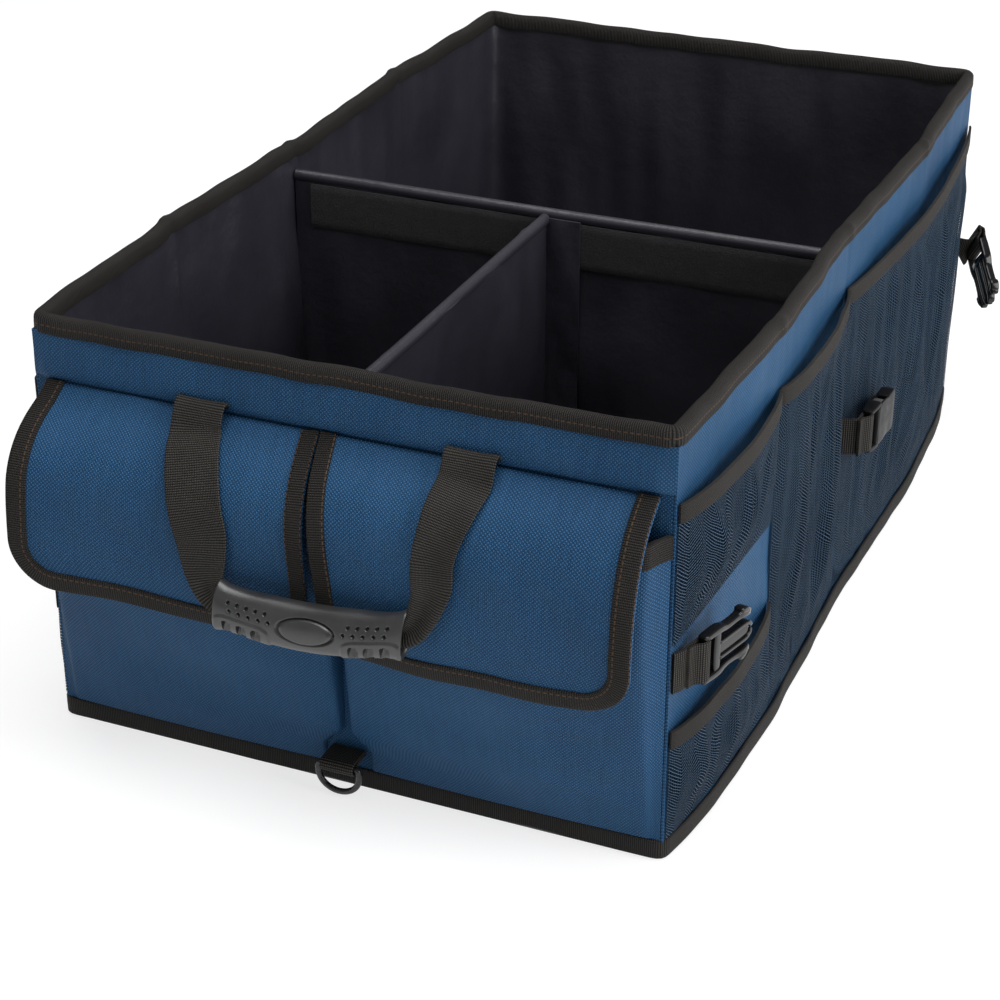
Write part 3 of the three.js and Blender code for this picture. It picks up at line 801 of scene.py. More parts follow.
def two_skins(name: str, front: Points, back: Points, around: bool = False) -> Piece:
    """Closes two grids of points into one thin piece of cloth.

    Args:
        name: the piece's name.
        front: rows by columns of points in millimetres.
        back: the same for the other skin.
        around: whether the last column joins the first.

    Returns:
        The piece, with its cloth layer measured along rows and columns.
    """
    rows, columns = front.shape[:2]
    ring = np.concatenate([front, front[:, :1]], axis=1) if around else front
    across = np.concatenate([[0.0], np.cumsum(np.linalg.norm(np.diff(ring, axis=1), axis=2).mean(0))])
    along = np.concatenate([[0.0], np.cumsum(np.linalg.norm(np.diff(front, axis=0), axis=2).mean(1))])
    faces = []
    plane = []

    def add(*corners: tuple[int, int, int]) -> None:
        """Adds a face from corners given as (row, column, skin)."""
        faces.append([(skin * rows + row) * columns + column % columns for row, column, skin in corners])
        plane.extend((across[column], along[row]) for row, column, _ in corners)

    spans = columns if around else columns - 1
    foot, end = rows - 1, columns - 1
    for row in range(foot):
        for column in range(spans):
            add((row, column, 0), (row, column + 1, 0), (row + 1, column + 1, 0), (row + 1, column, 0))
            add((row, column, 1), (row + 1, column, 1), (row + 1, column + 1, 1), (row, column + 1, 1))
    for column in range(spans):
        add((0, column, 0), (0, column, 1), (0, column + 1, 1), (0, column + 1, 0))
        add((foot, column, 0), (foot, column + 1, 0), (foot, column + 1, 1), (foot, column, 1))
    if not around:
        for row in range(foot):
            add((row, 0, 0), (row + 1, 0, 0), (row + 1, 0, 1), (row, 0, 1))
            add((row, end, 0), (row, end, 1), (row + 1, end, 1), (row + 1, end, 0))
    vertices = np.concatenate([front.reshape(-1, 3), back.reshape(-1, 3)])
    return Piece(name, vertices, faces, np.array(plane))


def loft(name: str, rings: Points, across: Points, along: Points, closed: bool = False) -> Piece:
    """Joins closed rings of points into a tube with flat ends, or into a closed hoop.

    Args:
        name: the piece's name.
        rings: stations by points in millimetres.
        across: the cloth place of each point of a ring.
        along: the cloth place of each station, with one more for a hoop.
        closed: whether the last ring joins the first.

    Returns:
        The piece.
    """
    count, size = rings.shape[:2]
    faces = []
    plane = []
    for station in range(count if closed else count - 1):
        ahead = (station + 1) % count
        for point in range(size):
            beside = (point + 1) % size
            here, there = station * size, ahead * size
            faces.append([here + point, here + beside, there + beside, there + point])
            left, right = across[point], across[beside]
            near, far = along[station], along[station + 1]
            plane.extend([(left, near), (right, near), (right, far), (left, far)])
    if not closed:
        for station in (0, count - 1):
            faces.append([station * size + point for point in range(size)])
            plane.extend((across[point], along[station]) for point in range(size))
    return Piece(name, rings.reshape(-1, 3), faces, np.array(plane))


def flat_section(width: float, thick: float, edge: float, count: int = 8) -> Points:
    """Draws a strap with rounded edges, each side by itself.

    Args:
        width: across.
        thick: through.
        edge: how far in the rounding starts.
        count: steps per side.

    Returns:
        The outline as (across, out) points.
    """
    across = -np.cos(np.linspace(0, math.pi, count + 1)) * width / 2
    inset = np.clip((np.abs(across) - (width / 2 - edge)) / edge, 0, 1)
    out = thick / 2 * np.sqrt(np.maximum(1 - inset**2, 0.02))
    top = np.stack([across, out], axis=1)
    return np.concatenate([top, (top * [1, -1])[::-1]])


def strap(
    name: str, path: Points, sideways: Points, outwards: Points, sections: Points, closed: bool = False
) -> Piece:
    """Sweeps a strap's section along a path.

    Args:
        name: the piece's name.
        path: the centre line in millimetres.
        sideways: the unit direction across the strap at each point.
        outwards: the unit direction of its outer face at each point.
        sections: one (across, out) outline, or one for each point.
        closed: whether the path is a hoop.

    Returns:
        The piece.
    """
    shape = sections if sections.ndim == 3 else np.broadcast_to(sections, (len(path), *sections.shape))
    rings = path[:, None] + sideways[:, None] * shape[:, :, :1] + outwards[:, None] * shape[:, :, 1:]
    travel = lengths(np.vstack([path, path[:1]]) if closed else path)
    return loft(name, rings, shape[0, :, 0], travel, closed)


def joined(name: str, parts: Sequence[Piece]) -> Piece:
    """Puts pieces together as one of several bodies.

    Args:
        name: what it is called.
        parts: the pieces.

    Returns:
        The piece.
    """
    offsets = np.cumsum([0, *(len(part.vertices) for part in parts)])
    faces = []
    for part, offset in zip(parts, offsets):
        faces.extend([int(index + offset) for index in face] for face in part.faces)
    vertices = np.concatenate([part.vertices for part in parts])
    return Piece(name, vertices, faces, np.concatenate([part.plane for part in parts]))


def dress(
    piece: Piece,
    material: bpy.types.Material,
    body: str,
    nodes: Sequence[str] = (),
    sharp: float = CRISP_ANGLE,
) -> bpy.types.Object:
    """Builds a piece and hands it to the frame.

    Args:
        piece: the piece.
        material: its finish.
        body: the body it rides on.
        nodes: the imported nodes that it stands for.
        sharp: edges that turn more than this, in degrees, stay crisp.

    Returns:
        The object.
    """
    made = piece.build(material, sharp)
    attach(made, body)
    if nodes:
        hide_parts(*nodes)
    log.info("%s: %d faces on %s", piece.name, len(piece.faces), body)
    return made


@dataclass(frozen=True)
class BodyForm:
    """The main sizes of the box, in millimetres, and the curves of its walls."""

    half_width: float = 188.0
    half_length: float = 320.0
    height: float = 260.0
    wall_foot: float = 1.5
    wall_top: float = 249.7
    divider_y: float = -12.0
    fold_bow: float = 6.0
    divider_bow: float = 1.5
    foot_bulge: float = 7.0
    foot_bulge_height: float = 120.0
    foot_bulge_run: float = 90.0
    inner_depth: float = 5.2
    floor: float = 5.8
    corner_passes: int = 3

    @property
    def folds(self) -> tuple[float, float]:
        """Returns the two fold lines of each long wall."""
        return (self.divider_y - self.half_length) / 2, (self.divider_y + self.half_length) / 2

    def side_x(self, y: Points) -> Points:
        """Works out how far out the right wall stands.

        Args:
            y: places along it.

        Returns:
            Its x there.
        """
        front, rear = self.folds
        knots = [-self.half_length, front, self.divider_y, rear, self.half_length]
        bow = np.interp(y, knots, [0, self.fold_bow, self.divider_bow, self.fold_bow, 0])
        return self.half_width + bow

    def swell(self, y: Points, z: Points) -> Points:
        """Works out how far the foot of the long walls swells out.

        Args:
            y: places along it.
            z: heights.

        Returns:
            The distance.
        """
        run = np.clip((self.half_length - np.abs(y)) / self.foot_bulge_run, 0, 1)
        drop = np.maximum(0, 1 - z / self.foot_bulge_height)
        return self.foot_bulge * run * (2 - run) * drop * drop

    def plan(self, depth: float, step: float, z: Optional[float] = None) -> Points:
        """Traces the box's plan, counterclockwise from its front right corner.

        Args:
            depth: how far inside the outer face.
            step: the spacing of the points.
            z: the height whose foot swell is added.

        Returns:
            Points as (x, y).
        """
        reach = self.half_length - depth
        y = spaced(-reach, reach, round(2 * reach / step))
        swell = 0 if z is None else self.swell(y, np.full_like(y, z))
        right = np.stack([self.side_x(y) + swell - depth, y], axis=1)
        end = right[0][0]
        x = spaced(end, -end, round(2 * end / step))[1:-1]
        rear = np.stack([x, np.full_like(x, reach)], axis=1)
        ring = np.concatenate([right, rear, -right, -rear])
        for _ in range(self.corner_passes):
            ring = 0.5 * ring + 0.25 * (np.roll(ring, 1, axis=0) + np.roll(ring, -1, axis=0))
        return ring


@dataclass
class OuterWalls:
    """The blue outer cloth: two long walls, two end walls and the hemmed band over each pair of flaps."""

    form: BodyForm
    wardrobe: Wardrobe
    thick: float = 1.2
    dent: float = 0.8
    dent_limits: tuple = (-0.25, 0.6)
    crease: float = 0.9
    crease_width: float = 3.0
    divider_crease_width: float = 2.5
    pleat: float = 0.5
    pleat_width: float = 14.0
    end_inset: float = 1.5
    end_dent: float = 0.15
    band_inset: float = 0.4
    band_sag: float = 0.9
    band_corner: float = 9.0
    band_profile: tuple = (
        (0.3, 250.0), (1.1, 245.0), (2.3, 238.0), (3.3, 231.5),
        (3.6, 227.5), (3.1, 224.6), (1.9, 223.2), (0.6, 223.6),
    )

    def long_wall(self, side: Side) -> None:
        """Builds one long wall with its fold creases and soft dents.

        Args:
            side: the long side.
        """
        form = self.form
        y = spaced(-form.half_length, form.half_length, 160)[None, :]
        z = spaced(form.wall_foot, form.wall_top, 34)[:, None]
        rumple = Rumple(11 if side is Side.RIGHT else 12, 70)
        calm = ease(form.half_length - np.abs(y), 0, 50)
        dents = np.clip(self.dent * calm * rumple(y, z), *self.dent_limits)
        out = form.side_x(y) + form.swell(y, z) + dents
        for fold in form.folds:
            crease = self.crease * ridge(y - fold, self.crease_width)
            out = out - crease + self.pleat * ridge(y - fold, self.pleat_width)
        out = out - self.crease * ridge(y - form.divider_y, self.divider_crease_width)
        skins = [side.place(grid(out - inset, y, z)) for inset in (0, self.thick)]
        piece = two_skins(f"{side.value}_side_cloth", *skins)
        dress(piece, self.wardrobe.cloth, SHELL, [f"{side.value}_side_panel"])

    def end_wall(self, end: End) -> None:
        """Builds one end wall.

        Args:
            end: the short end.
        """
        form = self.form
        reach = form.half_width - self.end_inset
        x = spaced(-reach, reach, 90)[None, :]
        z = spaced(form.wall_foot, form.wall_top, 40)[:, None]
        rumple = Rumple(21 if end is End.FRONT else 22, 60)
        front = grid(x, -form.half_length - self.end_dent * rumple(x, z), z)
        piece = two_skins(f"{end.value}_end_cloth", end.place(front), end.place(front + [0, self.thick, 0]))
        dress(piece, self.wardrobe.cloth, SHELL, [f"{end.value}_panel"])

    def hemmed_band(self, end: End) -> None:
        """Builds the band between the rim and the flap seam, which rolls over the sewn edge.

        Args:
            end: the short end.
        """
        form = self.form
        x = spaced(-form.half_width + self.band_inset, form.half_width - self.band_inset, 150)[None, :]
        profile = smooth_path(self.band_profile, 26)
        rumple = Rumple(31 if end is End.FRONT else 32, 55)
        edge = ease(form.half_width - np.abs(x), 0, self.band_corner)
        out = profile[:, :1] * (0.25 + 0.75 * edge)
        z = profile[:, 1:] + 0 * x
        sag = ease(z, 250, 226) * self.band_sag * rumple(x, z)
        front = grid(x, -form.half_length - out - 0.4 * sag * edge, z + sag * 0.5)
        back = front.copy()
        back[..., 1] = np.clip(front[..., 1] + 1.0, -form.half_length - 2.4, -form.half_length - 0.02)
        piece = two_skins(f"{end.value}_top_band", end.place(front), end.place(back))
        dress(piece, self.wardrobe.cloth, SHELL)

    def build(self) -> None:
        """Builds all the outer cloth."""
        for side in Side:
            self.long_wall(side)
        for end in End:
            self.end_wall(end)
            self.hemmed_band(end)


@dataclass
class EdgeBindings:
    """The rim binding, the foot binding and the plain cloth under the box."""

    form: BodyForm
    wardrobe: Wardrobe
    rim_overhang: float = 1.4
    rim_drop: float = 10.5
    rim_sway: float = 0.35
    knot_sway: float = 1.2
    knot_rise: float = 1.0
    foot_inset: float = -0.2
    foot_sway: float = 0.25
    foot_section: tuple = (
        (0.0, 0.2), (1.3, 0.3), (1.7, 1.2), (1.75, 6.0), (1.7, 10.6), (1.2, 11.8), (0.3, 12.0), (0.1, 6.0)
    )
    base_overhang: float = 1.2
    base_thick: float = 1.2

    def hoop(self, name: str, depth: float, z: float, section: Points, lift: Lift, swell: bool) -> Piece:
        """Sweeps a section round the box.

        Args:
            name: the piece's name.
            depth: how far inside the outer face its middle runs.
            z: the height of its middle.
            section: (out, up) points.
            lift: gives the unevenness at each (x, y) as (out, up).
            swell: whether it follows the swell of the foot.

        Returns:
            The hoop.
        """
        plan = self.form.plan(depth, 3.0, z if swell else None)
        ahead = headings(plan, True)
        out = np.stack([ahead[:, 1], -ahead[:, 0]], axis=1)
        sway, rise = lift(plan[:, 0], plan[:, 1])
        reach = section[None, :, 0] + sway[:, None]
        rings = np.empty((len(plan), len(section), 3))
        rings[:, :, :2] = plan[:, None] + out[:, None] * reach[:, :, None]
        rings[:, :, 2] = z + section[None, :, 1] + rise[:, None]
        across = lengths(np.vstack([section, section[:1]]))[:-1]
        travel = lengths(np.vstack([plan, plan[:1]]))
        return loft(name, rings, across - across.max() / 2, travel, True)

    def rim_section(self) -> Points:
        """Draws the tape folded over the top edge.

        Returns:
            The outline as (out, up) points.
        """
        wide = self.form.inner_depth / 2 + self.rim_overhang
        outer = np.array([
            [wide - 0.1, -self.rim_drop],
            [wide + 0.25, -self.rim_drop + 1.5],
            [wide + 0.2, -6.0],
            [wide, -3.0],
            [wide - 0.8, -1.3],
            [wide - 2.0, -0.35],
            [0, 0],
        ])
        under = np.array([[1 - wide, -self.rim_drop + 0.2], [wide - 1, -self.rim_drop + 0.2]])
        return np.concatenate([outer, outer[-2::-1] * [-1, 1], under])

    def rim(self) -> None:
        """Builds the tape folded over the top edge."""
        wave = Rumple(41, 45)
        slow = Rumple(42, 160)
        creases = (*self.form.folds, self.form.divider_y)

        def lift(x: Points, y: Points) -> tuple[Points, Points]:
            """Works out how the rim strays from a straight line.

            Args:
                x: places across.
                y: places along.

            Returns:
                How far it sways out and rises.
            """
            knots = sum(ridge(y - crease, 5) for crease in creases) * ease(np.abs(x), 150, 185)
            sway = self.rim_sway * wave(x, y) + self.knot_sway * knots
            rise = self.rim_sway * (wave(y, x) + slow(x, y)) - 0.5 + self.knot_rise * knots
            return sway, rise

        middle = self.form.inner_depth / 2
        piece = self.hoop("rim_tape", middle, self.form.height, self.rim_section(), lift, False)
        dress(piece, self.wardrobe.rim_tape, SHELL, ["rim_binding"])

    def foot(self) -> None:
        """Builds the tape round the foot."""
        wave = Rumple(43, 60)

        def lift(x: Points, y: Points) -> tuple[Points, Points]:
            """Returns how far the foot tape sways out at each place; it never rises."""
            return self.foot_sway * wave(x, y), 0 * x

        piece = self.hoop("foot_tape", self.foot_inset, 0.0, np.array(self.foot_section), lift, True)
        dress(piece, self.wardrobe.rim_tape, SHELL)

    def base(self) -> None:
        """Builds the cloth under the box as rings that close towards its middle."""
        plan = self.form.plan(-self.base_overhang, 8.0, self.form.wall_foot)
        share = np.array([1.0, 0.5, 0.02])[:, None]
        below = grid(plan[:, 0] * share, plan[:, 1] * share, 0.0)
        piece = two_skins("base_cloth", below, below + [0, 0, self.base_thick], True)
        dress(piece, self.wardrobe.lining, SHELL, ["base_panel"])

    def build(self) -> None:
        """Builds both bindings and the base."""
        self.rim()
        self.foot()
        self.base()


@dataclass
class InnerLining:
    """The satin lining of the walls and floor."""

    form: BodyForm
    wardrobe: Wardrobe
    thick: float = 1.0
    top: float = 250.0
    belly_height: float = 244.0
    slack_push: float = 0.9
    fold_push: float = 0.35
    crease: float = 2.6
    hollow: float = 1.6
    deepest: float = -0.55
    floor_dent: float = 0.25

    def walls(self) -> None:
        """Builds the lining of the four walls as one slack band."""
        form = self.form
        plan = form.plan(form.inner_depth, 5.5)
        x, y = plan[None, :, 0], plan[None, :, 1]
        ahead = headings(plan, True)
        inwards = np.stack([-ahead[:, 1], ahead[:, 0]], axis=1)
        travel = lengths(plan)[None, :]
        z = spaced(form.floor - 0.6, self.top, 38)[:, None]
        slack = Rumple(51, 95)
        folds = Rumple(52, 34)
        middle = np.sin(np.pi * np.clip((z - form.floor) / self.belly_height, 0, 1)) ** 0.6
        on_side = ease(np.abs(x), 165, 180)
        looseness = 1 + 2.4 * on_side + 1.2 * ease(y, 290, 310)
        waves = self.slack_push * slack(travel, z * 0.4) + self.fold_push * folds(travel, z * 0.25)
        push = middle * looseness * waves
        for place in (*form.folds, form.divider_y):
            fold = self.crease * ridge(y - place, 2.6) - self.hollow * ridge(y - place, 10)
            push = push + on_side * fold * ease(-z, -250, -235)
        push = np.maximum(push, self.deepest)
        front = grid(x + inwards[:, 0] * push, y + inwards[:, 1] * push, z)
        outer = plan - inwards * self.thick
        piece = two_skins("lining_walls", front, grid(outer[:, 0], outer[:, 1], z), True)
        dress(piece, self.wardrobe.lining, SHELL, ["lining"])

    def floor(self) -> None:
        """Builds the lining of the floor."""
        form = self.form
        reach = form.half_length - form.inner_depth
        y = spaced(-reach, reach, 84)[:, None]
        x = (form.side_x(y) - form.inner_depth) * spaced(-1, 1, 48)[None, :]
        rumple = Rumple(53, 60)
        front = grid(x, y, form.floor + self.floor_dent * rumple(x, y))
        piece = two_skins("lining_floor", front, grid(x, y, form.floor - self.thick))
        dress(piece, self.wardrobe.lining, SHELL)

    def build(self) -> None:
        """Builds the whole lining."""
        self.walls()
        self.floor()


@dataclass
class Dividers:
    """The sewn cross divider and the small divider that moves along its hook-and-loop tape."""

    form: BodyForm
    wardrobe: Wardrobe
    clearance: float = 0.3
    cross_thick: float = 5.0
    cross_top: float = 241.0
    small_x: float = -6.0
    small_thick: float = 3.5
    small_top: float = 238.0
    small_lift: float = 2.0
    small_sway: float = 1.4
    small_crease: float = 0.5
    tab_width: float = 26.0
    tab_thick: float = 1.2
    tape_foot: float = 203.7
    tape_height: float = 30.0
    tape_width: float = 344.0
    tape_space: float = 1.5
    tape_edge: float = 0.6
    tape_pile: float = 0.9
    bead: float = 3.5
    bead_rise: float = 1.15

    @property
    def cross_face(self) -> float:
        """Returns where the front of the cross divider stands."""
        return self.form.divider_y - self.cross_thick / 2

    @property
    def wall_face(self) -> float:
        """Returns where the lining of the front wall stands."""
        return -self.form.half_length + self.form.inner_depth

    def piping(self, name: str, knots: Sequence[Sequence[float]], body: str) -> None:
        """Builds a bound edge along a divider's top.

        Args:
            name: of the piece.
            knots: points it passes through.
            body: what carries it.
        """
        path = smooth_path(knots, 60)
        section = circle(14) * [self.bead, self.bead * self.bead_rise]
        up = np.broadcast_to(np.array([0.0, 0.0, 1.0]), path.shape)
        piece = strap(name, path, unit(np.cross(headings(path), up)), up, section)
        dress(piece, self.wardrobe.lining, body)

    def cross(self) -> None:
        """Builds the cross divider, its bound top and its loop tape."""
        form = self.form
        middle = form.divider_y
        reach = float(form.side_x(np.array(middle))) - form.inner_depth - self.clearance
        x = spaced(-reach, reach, 110)[None, :]
        z = spaced(form.floor + self.clearance, self.cross_top - 4, 44)[:, None]
        rumple = Rumple(61, 80)
        free = 0.4 + 1.3 * ease(-z, -200, -150)
        sway = free * rumple(x, z) * ease(reach - np.abs(x), 0, 30)
        front = grid(x, self.cross_face + sway, z)
        piece = two_skins("cross_divider_cloth", front, front + [0, self.cross_thick, 0])
        dress(piece, self.wardrobe.lining, SHELL, ["cross_divider"])
        top = ((-reach, 237.3), (-90, 237.0), (0, 236.6), (90, 236.9), (reach, 237.3))
        self.piping("cross_divider_piping", [(place, middle, height) for place, height in top], SHELL)

    def loop_tape(self, name: str, y: float, facing: int) -> None:
        """Builds a strip of loop tape.

        Args:
            name: of the piece.
            y: where its wall stands.
            facing: the way it looks, 1 or -1.
        """
        x = spaced(-self.tape_width / 2, self.tape_width / 2, 120)[None, :]
        z = spaced(self.tape_foot, self.tape_foot + self.tape_height, 12)[:, None]
        wave = Rumple(62, 70)
        lip = ease(self.tape_height / 2 - np.abs(z - self.tape_foot - self.tape_height / 2), 0, 2.0)
        pile = self.tape_edge + self.tape_pile * lip + np.minimum(0.2 * wave(x, z), 0.05)
        front = grid(x, y + facing * pile, z)
        piece = two_skins(f"{name}_fuzz", front, grid(x, y, z))
        dress(piece, self.wardrobe.fuzz, SHELL, [f"{name}_loop_tape"])

    def small(self) -> None:
        """Builds the small divider with its bound top and its two tabs."""
        form = self.form
        gap = self.clearance + self.tape_space + self.clearance
        near, far = self.wall_face + gap, self.cross_face - gap
        y = spaced(near, far, 96)[None, :]
        foot = form.floor + self.small_lift
        z = spaced(foot, self.small_top - 3, 40)[:, None]
        rumple = Rumple(63, 75)
        creases = Rumple(66, 36)
        calm = ease(np.minimum(y - near, far - y), 0, 25)
        sway = (self.small_sway * rumple(y, z * 0.6) + self.small_crease * creases(y, z * 0.5)) * calm
        left = self.small_x - self.small_thick / 2
        front = grid(left + sway, y, z)
        piece = two_skins("small_divider_cloth", front, front + [self.small_thick, 0, 0])
        dress(piece, self.wardrobe.lining, "divider", ["small_divider"])
        top = ((0.0, near, 234.4), (0.4, -230, 234.0), (-0.3, -120, 234.0), (0.0, far, 234.4))
        knots = [(self.small_x + sideways, place, height) for sideways, place, height in top]
        self.piping("small_divider_piping", knots, "divider")
        for name, face, facing, seed in (("front", near, 1, 64), ("rear", far, -1, 65)):
            x = spaced(self.small_x, left + self.tab_width, 16)[None, :]
            height = spaced(foot, self.small_top - 2, 50)[:, None]
            wave = Rumple(seed, 40)
            lift = self.tab_thick + 0.5 * np.abs(wave(x, height))
            skin = grid(x, face + facing * lift, height)
            piece = two_skins(f"small_divider_tab_{name}", skin, grid(x, face, height))
            dress(piece, self.wardrobe.lining, "divider")

    def build(self) -> None:
        """Builds both dividers and the two loop tapes."""
        self.cross()
        self.loop_tape("cross_divider", self.cross_face - self.clearance, -1)
        self.loop_tape("front_wall", self.wall_face + self.clearance, 1)
        self.small()


@dataclass
class EndPockets:
    """The two pockets low on each end, each a wedge of cloth with a taped mouth."""

    form: BodyForm
    wardrobe: Wardrobe
    crease_x: float = 179.0
    seam_x: float = 186.5
    groove_x: float = 2.6
    groove_foot_x: float = 14.0
    top: float = 200.0
    foot: float = 12.5
    thick: float = 1.2
    wall_gap: float = 0.3
    shoulder: float = 5.0
    dent: float = 1.1
    mouth: float = 13.0
    mouth_rise: float = 0.6
    mouth_out: float = 0.8
    mouth_in: float = 0.5
    edge_depth: tuple = ((12, 0), (45, 5), (80, 11), (125, 17), (160, 19), (200, 17))
    middle_depth: tuple = ((12, 1), (45, 10), (80, 19), (125, 27), (150, 29), (175, 25), (200, 18))
    bulge_shares: tuple = (0.1, 0.22, 0.36, 0.5, 0.64, 0.78, 0.9)
    steps: tuple = (4, 3, 5, 5, 6, 6, 6, 6, 6, 5, 5, 3, 6, 6)

    def outline(self, height: float, inset: float) -> Points:
        """Draws the pocket at one height, from its middle seam to its side seam.

        Args:
            height: where it is cut.
            inset: how far in it is drawn.

        Returns:
            The (x, y) knots.
        """
        edge = np.interp(height, *zip(*self.edge_depth))
        middle = np.interp(height, *zip(*self.middle_depth))
        groove = self.groove_x + (self.groove_foot_x - self.groove_x) * ease(-height, -38, -25)
        wall = -self.form.half_length - self.wall_gap
        face = wall - self.thick + inset
        line = [[groove + inset, wall], [groove + 1 + inset, face - 0.85 * edge]]
        line.append([groove + self.shoulder, face - edge])
        for part in self.bulge_shares:
            depth = edge + (middle - edge) * 4 * part * (1 - part)
            line.append([groove + (self.crease_x - groove) * part, face - depth])
        line.append([self.crease_x - self.shoulder, face - edge])
        line.append([self.crease_x - inset, face - 0.85 * edge])
        line.append([(self.crease_x + self.seam_x) / 2 - inset - 0.8, wall - 0.45 * edge])
        line.append([self.seam_x - inset, wall])
        return np.array(line)

    def skin(self, z: Points, seed: int, inset: float) -> Points:
        """Lays out the pocket's surface.

        Args:
            z: the heights of its rows.
            seed: what its dents are drawn from.
            inset: how far inside its outer face the skin lies.

        Returns:
            Rows by columns of points.
        """
        rumple = Rumple(seed, 75)
        parts = np.concatenate([index + np.arange(count) / count for index, count in enumerate(self.steps)])
        parts = np.append(parts, len(self.steps))
        rows = []
        for height in z:
            line = self.outline(height, inset)
            knots = np.arange(len(line))
            places = parts * (len(line) - 1) / len(self.steps)
            row = np.stack([np.interp(places, knots, line[:, axis]) for axis in (0, 1)], axis=1)
            smoothed = row.copy()
            smoothed[1:-1] = 0.5 * row[1:-1] + 0.25 * (row[:-2] + row[2:])
            x = smoothed[:, 0]
            z_row = np.full_like(x, height)
            inside = ease(x, self.groove_x + 8, self.groove_x + 40)
            inside = inside * ease(-x, -self.crease_x + 4, -self.crease_x + 45)
            dents = self.dent * inside * ease(z_row, self.foot, 40) * rumple(x, z_row)
            rows.append(np.column_stack([x, smoothed[:, 1] - dents, z_row]))
        return np.array(rows)

    def pocket(self, end: End, side: Side, seed: int) -> None:
        """Builds one pocket and the tape round its mouth.

        Args:
            end: the short end.
            side: its half.
            seed: the number its dents are drawn from.
        """
        name = f"{end.value}_pocket_{end.side_name(side)}"
        z = np.concatenate([spaced(self.foot, 60, 14), spaced(60, self.top, 36)[1:]])
        skins = [end.half(side, self.skin(z, seed, inset)) for inset in (0, self.thick)]
        dress(two_skins(f"{name}_cloth", *skins), self.wardrobe.cloth, SHELL, [name])
        high = spaced(self.top - self.mouth, self.top + self.mouth_rise, 8)
        insets = (-self.mouth_out, self.thick + self.mouth_in)
        skins = [end.half(side, self.skin(high, seed, inset)) for inset in insets]
        dress(two_skins(f"{name}_mouth_tape", *skins), self.wardrobe.edge_tape, SHELL)

    def build(self) -> None:
        """Builds the four pockets."""
        for index, end in enumerate(End):
            for offset, side in enumerate(Side):
                self.pocket(end, side, 71 + 2 * index + offset)


@dataclass(frozen=True)
class Hang:
    """How one flap hangs: how far its outer edge stands out, and the share by which it is shorter there."""

    flare: float
    shorter: float = 0.0


